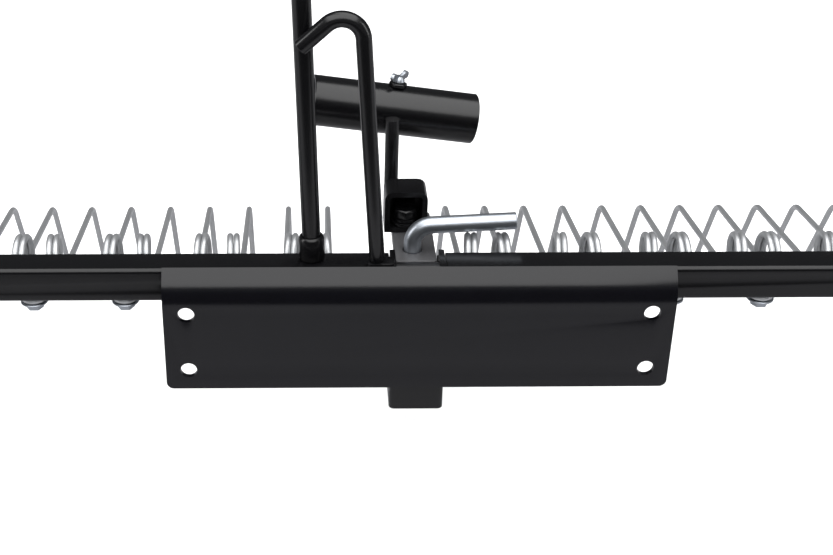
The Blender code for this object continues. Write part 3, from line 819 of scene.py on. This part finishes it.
@dataclass
class HitchPin:
    """Round L-shaped pin with a chamfered foot and a cut handle."""

    centre: Flat = (-1.3, 50.0)
    radius: float = 4.9
    bend: float = 11.0
    handle_z: float = 45.3
    handle_end: float = 56.0
    rise: float = math.radians(3.0)

    def build(self) -> None:
        """Make the pin and put it on its body."""
        low, _ = node_box("hitch_pin")
        x, y = self.centre
        bend = (x + self.bend, self.handle_z - self.bend)
        path = [(x, low.z), (x, (low.z + bend[1]) / 2)]
        path += Workshop.arc(bend, self.bend, math.pi, -(math.pi / 2 - self.rise), 20)
        last = path[-1]
        reach = self.handle_end - last[0]
        for share in (0.5, 1.0):
            path.append((last[0] + reach * share, last[1] + reach * share * math.tan(self.rise)))
        piece = Workshop.bent_rod("hitch_l_pin", [(a, y, b) for a, b in path], self.radius, PLATED, 40, 0.7)
        hand_over(piece, Body.PIN, PLATED, "hitch_pin")


# ---------------------------------------------------------------- tube holder

@dataclass
class TubeHolder:
    """Arch bracket open at its front, upright rod, open tube and the thumb screw in its nut."""

    swivel: Flat = (-4.0, 77.0)
    wall: float = 3.0
    back_wall: float = 2.5
    corner: float = 5.0
    bolt_hole: float = 4.4
    rod_x: float = -11.7
    rod_radius: float = 4.0
    centre: Point = (-10.5, 111.6, 88.4)
    radius: float = 14.5
    tube_wall: float = 2.0
    length: float = 96.0
    yaw: float = math.radians(5.0)
    drop: float = math.radians(9.5)
    gap: float = 0.3
    nut_height: float = 2.2
    nut_across: float = 9.3
    screw_hole: float = 3.0
    screw_shank: float = 2.5
    wing_thick: float = 2.2
    wing_turn: float = math.radians(45.0)

    def along(self) -> Vector:
        """Unit vector along the tube, to the right."""
        flat = math.cos(self.drop)
        return Vector((flat * math.cos(self.yaw), flat * math.sin(self.yaw), -math.sin(self.drop)))

    def up(self) -> Vector:
        """Unit vector from the tube's centre line to its top."""
        along = self.along()
        return (Vector((0, 0, 1)) - along * along.z).normalized()

    def seat(self) -> Vector:
        """The point on the tube's top that the nut stands on."""
        return Vector(self.centre) + self.up() * (self.radius + self.gap)

    def arch(self) -> None:
        """Make the bracket."""
        low, high = node_box("arch_bracket")

        def ring(inset: float, near: float, far: float) -> Fill:
            """A function that adds the strap's outline, made smaller by an inset."""
            def fill(shape: Shape) -> None:
                """One outline, extruded from front to back."""
                radius = max(self.corner - inset, 1.2)
                loop = Workshop.round_box((low.x + inset, low.z + inset), (high.x - inset, high.z - inset),
                                          radius, 8)
                Workshop.extrude(shape, [(x, near, z) for x, z in loop], (0, far - near, 0))
            return fill
        square_feet = using(Workshop.box, (low.x, low.y, low.z), (high.x, high.y, low.z + self.wall + 2))

        def hole(shape: Shape) -> None:
            """The hole for the swivel bolt."""
            x, y = self.swivel
            Workshop.rod(shape, (x, y, low.z - 2), (x, y, low.z + 5), self.bolt_hole, 40)

        build_piece(Body.HOLDER, "arch_bracket", "arch_strap", ring(0.0, low.y, high.y), BLACK_BAR,
                    joins=(square_feet,), cuts=(ring(self.wall, low.y - 3, high.y - self.back_wall), hole),
                    edge=0.5)

    def upright(self) -> None:
        """Make the upright rod."""
        low, high = node_box("tee_rod")
        foot = Vector((self.rod_x, (low.y + high.y) / 2, 0))
        r = self.rod_radius
        profile = ((0, low.z), (r - 0.6, low.z), (r, low.z + 0.6), (r, high.z - 0.4), (0, high.z))
        build_piece(Body.HOLDER, "tee_rod", "tee_upright",
                    using(Workshop.turn, profile, foot, Vector((0, 0, 1))), BLACK_ROD, edge=0)

    def tube(self) -> None:
        """Make the open tube and the nut on it."""
        along = self.along()
        start = Vector(self.centre) - along * (self.length / 2)
        inner, outer, edge = self.radius - self.tube_wall, self.radius, 0.5
        end = self.length
        profile = ((inner, edge), (inner + edge, 0), (outer - edge, 0), (outer, edge),
                   (outer, end - edge), (outer - edge, end), (inner + edge, end), (inner, end - edge))
        hole = using(Workshop.rod, self.seat() - self.up() * 6, self.seat() + self.up() * 3,
                     self.screw_hole, 32)
        build_piece(Body.HOLDER, "tee_tube", "holder_tube", using(Workshop.turn, profile, start, along, 72),
                    BLACK_ROD, cuts=(hole,), edge=0)
        nut = using(Workshop.hex_head, self.seat(), self.up(), self.nut_across, self.nut_height, 0.5)
        thread = using(Workshop.rod, self.seat() - self.up() * 2, self.seat() + self.up() * 6,
                       self.screw_hole, 32)

        build_piece(Body.HOLDER, "tube_nut", "tube_top_nut", nut, BLACK_ROD, cuts=(thread,), edge=0.2)

    def thumb_screw(self) -> None:
        """Make the thumb screw: shank, round neck and two flat wings."""
        up = self.up()
        along = Matrix.Rotation(self.wing_turn, 3, up) @ self.along()
        side = up.cross(along)
        neck = self.seat() + up * (self.nut_height + self.gap)
        shank = using(Workshop.rod, self.seat() - up * (self.tube_wall + self.gap + 1.0), neck + up * 0.6,
                      self.screw_shank, 32)
        collar = using(Workshop.turn, ((0, 0), (3.4, 0), (3.6, 0.6), (3.1, 2.2), (2.2, 3.4), (0, 3.6)),
                       neck, up, 32)

        def wing(way: int) -> Fill:
            """A function that adds one flat wing, round at its tip."""
            def fill(shape: Shape) -> None:
                """One wing's outline, extruded through its thickness."""
                tip = Workshop.arc((5.3, 3.4), 2.3, -math.pi / 3, math.pi * 1.15, 12)
                flat = [(0.6, 0.5)] + tip + [(0.6, 3.2)]
                loop = [neck + along * (way * a) + up * b - side * (self.wing_thick / 2)
                        for a, b in flat]
                Workshop.extrude(shape, loop, side * self.wing_thick)
            return fill

        build_piece(Body.SCREW, "wing_screw", "thumb_wing_screw", shank, PLATED,
                    joins=(collar, wing(-1), wing(1)), edge=0.45)

    def build(self) -> None:
        """Make every piece of the holder."""
        self.arch()
        self.upright()
        self.tube()
        self.thumb_screw()


# ------------------------------------------------------------------ hook rod

@dataclass
class Hook:
    """Rod bent into a hook in front of the lever, and the lug it turns in."""

    y: float = 17.4
    radius: float = 4.2
    foot: Flat = (-22.56, 41.3)
    lean: float = math.radians(3.7)
    bend: float = 11.0
    bend_centre: Flat = (-42.3, 165.6)
    turn: float = math.radians(128.6)
    arm: float = 18.0
    spigot: float = 3.0

    def point(self, distance: float) -> Vector:
        """A point on the turning axis, a distance above the foot."""
        return Vector((self.foot[0] - math.sin(self.lean) * distance, self.y,
                       self.foot[1] + math.cos(self.lean) * distance))

    def build(self) -> None:
        """Make the hook rod and its lug."""
        bend = Workshop.arc(self.bend_centre, self.bend, self.lean, self.turn, 28)
        start = (self.foot[0], self.foot[1] + 0.3)
        shank = [(start[0] + (bend[0][0] - start[0]) * k / 4, start[1] + (bend[0][1] - start[1]) * k / 4)
                 for k in range(4)]
        heading = self.lean + self.turn + math.pi / 2
        end = (bend[-1][0] + self.arm * math.cos(heading), bend[-1][1] + self.arm * math.sin(heading))
        path = [(a, self.y, b) for a, b in shank + bend + [end]]
        rod = Workshop.bent_rod("hook_bent_rod", path, self.radius, BLACK_ROD, 36, 0.45)
        hand_over(rod, Body.HOOK, BLACK_ROD, "hook_rod")

        low, high = node_box("hook_plate")
        lug = using(Workshop.slab, low, high, 2, 3.0, 7)
        bore = using(Workshop.rod, self.point(-8), self.point(4), self.spigot + 0.4, 32)

        build_piece(Body.MOUNT, "hook_plate", "hook_lug", lug, BLACK_BAR, cuts=(bore,), edge=0.4)


# ------------------------------------------------------------------- tine bar

@dataclass
class TineBar:
    """Two square half tubes, their pivot shaft, bolts, nuts and end caps."""

    wall: float = 2.0
    corner: float = 2.6
    axis: Flat = (24.5, 27.3)
    shaft_radius: float = 7.4
    bolt_radius: float = 3.0
    bolt_across: float = 9.6
    bolt_play: float = 0.5
    nut_play: float = 0.35
    cap_face: float = 3.0
    cap_inset: float = 2.3

    def half(self, side: str) -> None:
        """Make one half tube."""
        node = "crossbar_" + side
        low, high = node_box(node)
        bolt_x = self.bolt_x(side)
        section = using(Workshop.slab, low, high, 0, self.corner, 7)

        def hollow(shape: Shape) -> None:
            """The inner space."""
            w = self.wall
            Workshop.slab(shape, low, high, 0, 1.0, 3, w, 3)

        def hole(shape: Shape) -> None:
            """The hole for the shaft bolt."""
            z = self.axis[1]
            Workshop.rod(shape, (bolt_x, 0, z), (bolt_x, 50, z), self.bolt_radius + self.bolt_play, 32)
        build_piece(Body.RAKE, node, "tine_bar_" + side, section, BLACK_BAR, cuts=(hollow, hole), edge=0.3)

    def bolt_x(self, side: str) -> float:
        """X of the shaft bolt on one side."""
        low, high = node_box("shaft_bolt_" + side)
        return (low.x + high.x) / 2

    def shaft(self) -> None:
        """Make the pivot shaft with its chamfered ends."""
        low, high = node_box("pivot_shaft")
        y, z = self.axis
        r, length = self.shaft_radius, high.x - low.x
        profile = ((0, 0), (r - 0.8, 0), (r, 0.8), (r, length - 0.8), (r - 0.8, length), (0, length))

        def holes(shape: Shape) -> None:
            """The holes for both bolts."""
            for side in ("left", "right"):
                x = self.bolt_x(side)
                Workshop.rod(shape, (x, 0, z), (x, 50, z), self.bolt_radius + self.bolt_play, 32)

        build_piece(Body.RAKE, "pivot_shaft", "pivot_round_shaft",
                    using(Workshop.turn, profile, Vector((low.x, y, z)), Vector((1, 0, 0))), SHAFT_PAINTED_SHADE,
                    cuts=(holes,), edge=0)

    def bolts(self, side: str) -> None:
        """Make the shaft bolt and the nut of one side."""
        back = Vector((0, 1, 0))
        x, z = self.bolt_x(side), self.axis[1]
        low, high = node_box("shaft_bolt_" + side)
        head_end = low.y + 3.6
        shank = using(Workshop.rod, (x, head_end - 0.3, z), (x, high.y, z), self.bolt_radius, 32)
        head = using(Workshop.hex_head, Vector((x, head_end, z)), -back, self.bolt_across, head_end - low.y,
                     0.6)

        build_piece(Body.RAKE, "shaft_bolt_" + side, f"{side}_shaft_hex_bolt", shank, PLATED, joins=(head,),
                    edge=0.2)
        low, high = node_box("shaft_nut_" + side)
        nut = using(Workshop.hex_head, Vector((x, low.y, z)), back, self.bolt_across, high.y - low.y, 0.6)
        thread = using(Workshop.rod, (x, low.y - 2, z), (x, high.y + 2, z),
                       self.bolt_radius + self.nut_play, 32)

        build_piece(Body.RAKE, "shaft_nut_" + side, f"{side}_shaft_hex_nut", nut, PLATED, cuts=(thread,),
                    edge=0.2)

    def cap(self, side: str, way: int) -> None:
        """Make the plastic cap in one end: a face with round corners and a plug.

        Args:
            side: left or right.
            way: -1 on the left, 1 on the right.
        """
        node = "end_cap_" + side
        low, high = node_box(node)
        outer = high.x if way > 0 else low.x
        inner = low.x if way > 0 else high.x
        face, plug = self.cap_face, self.cap_inset
        front = using(Workshop.prism, Workshop.round_box((low.y, low.z), (high.y, high.z), 2.6, 7), 0,
                      outer, -way * face)

        def tail(shape: Shape) -> None:
            """The plug inside the tube."""
            loop = Workshop.round_box((low.y + plug, low.z + plug), (high.y - plug, high.z - plug), 1.0, 3)
            start = outer - way * (face - 1.0)
            Workshop.extrude(shape, [(start, y, z) for y, z in loop], (inner - start, 0, 0))
        build_piece(Body.RAKE, node, f"{side}_bar_cap", front, CAP_PLASTIC, joins=(tail,), edge=0.9,
                    steps=3)

    def build(self) -> None:
        """Make every piece of the bar."""
        self.shaft()
        for side, way in (("left", -1), ("right", 1)):
            self.half(side)
            self.bolts(side)
            self.cap(side, way)


# ---------------------------------------------------------------------- tines

@dataclass
class SpringTines:
    """Double spring tines, each one wire with two legs, two coils and a bridge."""

    count: int = 20
    wire: float = 1.8
    coil: float = 11.5
    turns: int = 2
    coil_steps: int = 30
    leg_x: float = 12.5
    bridge_x: float = 5.2
    apex: Flat = (165.0, -1.0)
    leg_bend: float = 9.0
    tip: float = 100.0
    tip_angle: float = math.radians(61.6)
    bar_axis_y: float = 24.5
    gap: float = 0.3
    sides: int = 12
    head_radius: float = 5.0
    head_height: float = 3.6
    washer_radius: float = 7.5
    washer_thick: float = 1.2

    def side_path(self, way: int, bar_low: float, bar_rear: float) -> list[Point]:
        """One leg from its tip to its coil and to the bridge.

        Args:
            way: -1 for the left leg, 1 for the right one.
            bar_low: Z of the bar's lower face.
            bar_rear: Y of the bar's rear face.

        Returns:
            Points about the pair's own centre plane.
        """
        coil_y = bar_rear + 0.5 + self.wire + self.coil
        coil_z = bar_low - self.gap - self.wire + self.coil
        y, z = self.apex
        drop = math.atan2(coil_z - self.coil - z, y - coil_y)
        run = Vector((y - self.leg_bend * math.cos(drop), z + self.leg_bend * math.sin(drop)))
        fall = Vector((y + self.leg_bend * math.cos(self.tip_angle),
                       z - self.leg_bend * math.sin(self.tip_angle)))
        end = (y + self.tip * math.cos(self.tip_angle), z - self.tip * math.sin(self.tip_angle))
        knee = Vector(self.apex)
        points: list[Point] = [(way * self.leg_x, *end)]
        for step in range(9):
            share = step / 8
            bend = fall * (1 - share) ** 2 + knee * 2 * share * (1 - share) + run * share ** 2
            points.append((way * self.leg_x, bend.x, bend.y))
        total = self.turns * self.coil_steps
        for step in range(total + 1):
            share = step / total
            angle = -math.pi / 2 - share * self.turns * 2 * math.pi
            x = self.leg_x + (self.bridge_x - self.leg_x) * share
            points.append((way * x, coil_y + self.coil * math.cos(angle),
                           coil_z + self.coil * math.sin(angle)))
        return points

    def build(self) -> None:
        """Make the tines and the screws that clamp them under the bar."""
        low, high = node_box("crossbar_left")
        level = low.z - self.gap - self.wire
        left = self.side_path(-1, low.z, high.y)
        right = self.side_path(1, low.z, high.y)
        bridge = [(a, b, level) for a, b in Workshop.arc(
            (0.0, self.bar_axis_y), self.bridge_x, math.pi, math.pi, 14)]
        path = left + bridge + right[::-1]
        centres = []
        for number in range(1, self.count + 1):
            node = f"tine_{number:02d}"
            low_x, high_x = node_box(node)
            centre = (low_x.x + high_x.x) / 2
            centres.append(centre)
            piece = Workshop.bent_rod(f"spring_{node}", [(centre + x, y, z) for x, y, z in path],
                                      self.wire, WIRE, self.sides, 0.3)
            hand_over(piece, Body.RAKE, WIRE, node)
        self.screws(centres, level)

    def screws(self, centres: Sequence[float], level: float) -> None:
        """Make the row of screws and washers under the bridges."""
        height = level - self.wire - self.washer_thick / 2
        line = bpy.data.meshes.new("screw_places")
        line.from_pydata([Vector((x, self.bar_axis_y, height)) * MM for x in centres], [], [])
        piece = bpy.data.objects.new("tine_screw_row", line)
        bpy.context.scene.collection.objects.link(piece)
        NodeTrees.apply(piece, NodeTrees.screw_row(), {
            "Head Radius": self.head_radius * MM, "Head Height": self.head_height * MM,
            "Washer Radius": self.washer_radius * MM, "Washer Height": self.washer_thick * MM,
            "Finish": PLATED.material()})
        bevel = piece.modifiers.new("edges", "BEVEL")
        bevel.width = 0.3 * MM
        bevel.limit_method = "ANGLE"
        bevel.angle_limit = math.radians(40)
        Workshop.plain(piece, PLATED)
        hand_over(piece, Body.RAKE, PLATED)


# ---------------------------------------------------------------------- lever

@dataclass
class Lever:
    """Tall rod in a socket on the bar, with a ribbed rubber grip."""

    x: float = -57.4
    y: float = 27.0
    radius: float = 5.0
    lean: float = math.radians(1.9)
    length: float = 380.0
    socket_radius: float = 7.0
    socket: float = 14.0
    grip_radius: float = 13.0
    grip: float = 110.0
    rings: int = 9
    gap: float = 0.3

    def axis(self) -> Vector:
        """Unit vector up the lever."""
        return Vector((-math.sin(self.lean), 0, math.cos(self.lean)))

    def foot(self) -> Vector:
        """Point where the lever's line meets the bar."""
        _, high = node_box("crossbar_left")
        return Vector((self.x, self.y, high.z + self.gap))

    def grip_profile(self) -> list[Flat]:
        """Outline of the grip: a hollow sleeve with a domed end and finger rings."""
        start, end = self.length - self.grip + 6, self.length + 6
        bore = self.radius + 0.4
        r = self.grip_radius
        outer: list[Flat] = [(bore, start), (r - 2.6, start), (r - 0.6, start + 0.6), (r, start + 2.4),
                             (r, start + 5.0), (r - 1.6, start + 7.0)]
        pitch = (self.grip - 26) / self.rings
        for ring in range(self.rings):
            base = start + 9 + ring * pitch
            outer += [(r - 1.6, base), (r - 0.7, base + pitch * 0.25), (r - 0.5, base + pitch * 0.5),
                      (r - 0.7, base + pitch * 0.75), (r - 1.6, base + pitch * 0.95)]
        outer += [(r - 1.4, end - 15), (r - 0.8, end - 12)]
        outer += [(r * math.sin(a), end - 8 + 8 * math.cos(a)) for a in
                  (math.radians(d) for d in (88, 70, 55, 40, 25, 12))]
        return outer + [(0, end)]

    def build(self) -> None:
        """Make the socket, its set screw, the lever and the grip."""
        foot, axis = self.foot(), self.axis()
        r = self.radius
        rod = ((0, 0.5), (r - 0.5, 0.5), (r, 1.0), (r, self.length - 0.5), (0, self.length))
        build_piece(Body.RAKE, "lever_rod", "lever_round_rod", using(Workshop.turn, rod, foot, axis, 40),
                    BLACK_ROD, edge=0)

        bore, outer, top = r + self.gap, self.socket_radius, self.socket
        cup = ((bore, 0.4), (outer - 0.3, 0.4), (outer, 0.9), (outer, top - 1.8), (outer - 0.5, top - 0.6),
               (outer - 1.2, top), (bore, top))

        def screw_hole(shape: Shape) -> None:
            """The set screw's hole."""
            place = foot + axis * 7.5
            Workshop.rod(shape, place + Vector((0, 2, 0)), place + Vector((0, 12, 0)), 2.4, 24)

        build_piece(Body.RAKE, "lever_socket", "lever_foot_socket",
                    using(Workshop.turn, cup, foot, axis, 56), BLACK_BAR, cuts=(screw_hole,), edge=0)

        low, high = node_box("socket_screw")
        middle = (low + high) / 2
        stud = ((0, 0), (1.6, 0), (2.0, 0.5), (2.0, high.y - low.y - 0.4), (1.6, high.y - low.y),
                (1.0, high.y - low.y), (0.9, high.y - low.y - 1.6), (0, high.y - low.y - 1.6))
        build_piece(Body.RAKE, "socket_screw", "socket_set_screw",
                    using(Workshop.turn, stud, Vector((middle.x, low.y, middle.z)), Vector((0, 1, 0)), 24),
                    PLATED, edge=0)

        def grip(shape: Shape) -> None:
            """The grip, closed at its top, with the rod's space turned in from below."""
            inside = [(0, self.length + 0.3), (self.radius + 0.4, self.length + 0.3)]
            Workshop.turn(shape, inside + self.grip_profile(), foot, axis, 56)

        build_piece(Body.RAKE, "lever_grip", "lever_hand_grip", grip, GRIP_RUBBER, edge=0)


# --------------------------------------------------------------------- studio

@dataclass
class Studio:
    """Pale floor, soft lights and the camera."""

    floor_drop: float = 0.004
    floor_size: float = 14.0
    lens: float = 62.67
    place: Point = (-0.0567, -0.6630, 0.4196)
    pitch: float = math.radians(29.76)
    yaw: float = math.radians(0.87)
    roll: float = math.radians(0.19)
    shift: float = 0.1006

    def camera(self) -> None:
        """Set the camera."""
        data = bpy.data.cameras.new("camera")
        data.lens = self.lens
        data.sensor_width = 36.0
        data.shift_x = self.shift
        data.clip_start = 0.01
        forward = Vector((math.sin(self.yaw) * math.cos(self.pitch),
                          math.cos(self.yaw) * math.cos(self.pitch), -math.sin(self.pitch)))
        level = Vector((math.cos(self.yaw), -math.sin(self.yaw), 0))
        upright = level.cross(forward)
        right = level * math.cos(self.roll) + upright * math.sin(self.roll)
        top = upright * math.cos(self.roll) - level * math.sin(self.roll)
        turn = Matrix((right, top, -forward)).transposed().to_4x4()
        eye = bpy.data.objects.new("camera", data)
        eye.matrix_world = Matrix.Translation(self.place) @ turn
        bpy.context.scene.collection.objects.link(eye)
        bpy.context.scene.camera = eye

    def card(self, name: str, corners: Sequence[Point], colour: Colour, mirrored: Colour,
             seen: bool) -> bpy.types.Object:
        """A flat stage card.

        Args:
            name: Name of the card.
            corners: Its corners, in metres.
            colour: Its colour.
            mirrored: The colour it has in reflections.
            seen: Whether it shows in the picture, or only in reflections.

        Returns:
            The card.
        """
        mesh = bpy.data.meshes.new(name)
        mesh.from_pydata([Vector(c) for c in corners], [], [tuple(range(len(corners)))])
        material = bpy.data.materials.new(name)
        material.use_nodes = True
        shader = material.node_tree.nodes["Principled BSDF"]
        nodes, links = material.node_tree.nodes, material.node_tree.links
        # In glossy rays the card takes its mirrored colour: a painted reflection.
        path = nodes.new("ShaderNodeLightPath")
        mix = nodes.new("ShaderNodeMix")
        mix.data_type = "RGBA"
        mix.inputs["A"].default_value = (*colour, 1.0)
        mix.inputs["B"].default_value = (*mirrored, 1.0)
        links.new(path.outputs["Is Glossy Ray"], mix.inputs["Factor"])
        links.new(mix.outputs["Result"], shader.inputs["Base Color"])
        shader.inputs["Roughness"].default_value = 0.9
        shader.inputs["Specular IOR Level"].default_value = 0.0
        mesh.materials.append(material)
        card = bpy.data.objects.new(name, mesh)
        card.visible_camera = seen
        card.visible_diffuse = seen
        card.visible_shadow = seen
        bpy.context.scene.collection.objects.link(card)
        return card

    def lamp(self, name: str, place: Point, target: Point, size: Flat, power: float) -> None:
        """A rectangular soft light that is aimed at a point."""
        data = bpy.data.lights.new(name, "AREA")
        data.shape = "RECTANGLE"
        data.size, data.size_y = size
        data.energy = power
        lamp = bpy.data.objects.new(name, data)
        lamp.location = place
        lamp.rotation_mode = "QUATERNION"
        lamp.rotation_quaternion = (Vector(target) - Vector(place)).to_track_quat("-Z", "Y")
        lamp.visible_camera = False
        bpy.context.scene.collection.objects.link(lamp)

    def world(self) -> None:
        """A pale background that fills shadows but stays dim in reflections."""
        world = bpy.data.worlds.new("studio_air")
        world.use_nodes = True
        bpy.context.scene.world = world
        nodes, links = world.node_tree.nodes, world.node_tree.links
        nodes.clear()
        result = nodes.new("ShaderNodeOutputWorld")
        path = nodes.new("ShaderNodeLightPath")
        soft = nodes.new("ShaderNodeMath")
        soft.operation = "MAXIMUM"
        dim = nodes.new("ShaderNodeBackground")
        dim.inputs["Color"].default_value = (0.93, 0.96, 1.0, 1)
        dim.inputs["Strength"].default_value = 0.10
        pale = nodes.new("ShaderNodeBackground")
        pale.inputs["Color"].default_value = (0.96, 0.96, 0.97, 1)
        pale.inputs["Strength"].default_value = 0.95
        mix = nodes.new("ShaderNodeMixShader")
        join(links, (path, "Is Camera Ray", soft, 0), (path, "Is Diffuse Ray", soft, 1),
             (soft, "Value", mix, "Fac"), (dim, "Background", mix, 1), (pale, "Background", mix, 2),
             (mix, "Shader", result, "Surface"))

    def build(self) -> None:
        """Set the camera, the floor, the cards, the lights and the background."""
        self.camera()
        half = self.floor_size / 2
        level = CAD_LOW.z - self.floor_drop
        # The floor is pale to the camera, but in reflections it shows a painted reflection far darker than
        # its own colour.
        self.card("floor", ((-half, -half, level), (half, -half, level), (half, half, level),
                            (-half, half, level)), (0.90, 0.90, 0.90), (0.27, 0.27, 0.28), True)
        self.card("dark_flag", ((-0.8, -0.30, level), (0.8, -0.30, level), (0.8, -0.30, 0.13),
                                (-0.8, -0.30, 0.13)), (0.004, 0.004, 0.004), (0.004, 0.004, 0.004), False)
        self.lamp("overhead_panel", (0.0, -0.75, 1.45), (0.0, -0.65, 0.0), (2.6, 2.9), 80.0)
        self.lamp("left_strip", (-1.3, -0.1, 0.45), (0.0, 0.05, 0.08), (0.35, 1.0), 5.0)
        self.lamp("right_strip", (1.4, -0.3, 0.5), (0.0, 0.05, 0.08), (0.35, 1.0), 5.0)
        self.world()
        bpy.context.scene.view_settings.view_transform = "Standard"


def main() -> None:
    """Build the studio and every sub-assembly."""
    logging.basicConfig(level=logging.INFO, format="%(message)s")
    Studio().build()
    for part in (MountPlate(), CentreBox(), Tongue(), Swivel(), HitchPin(), TubeHolder(), Hook(),
                 TineBar(), SpringTines(), Lever()):
        LOG.info("building %s", type(part).__name__)
        part.build()


if __name__ == "__main__":
    main()
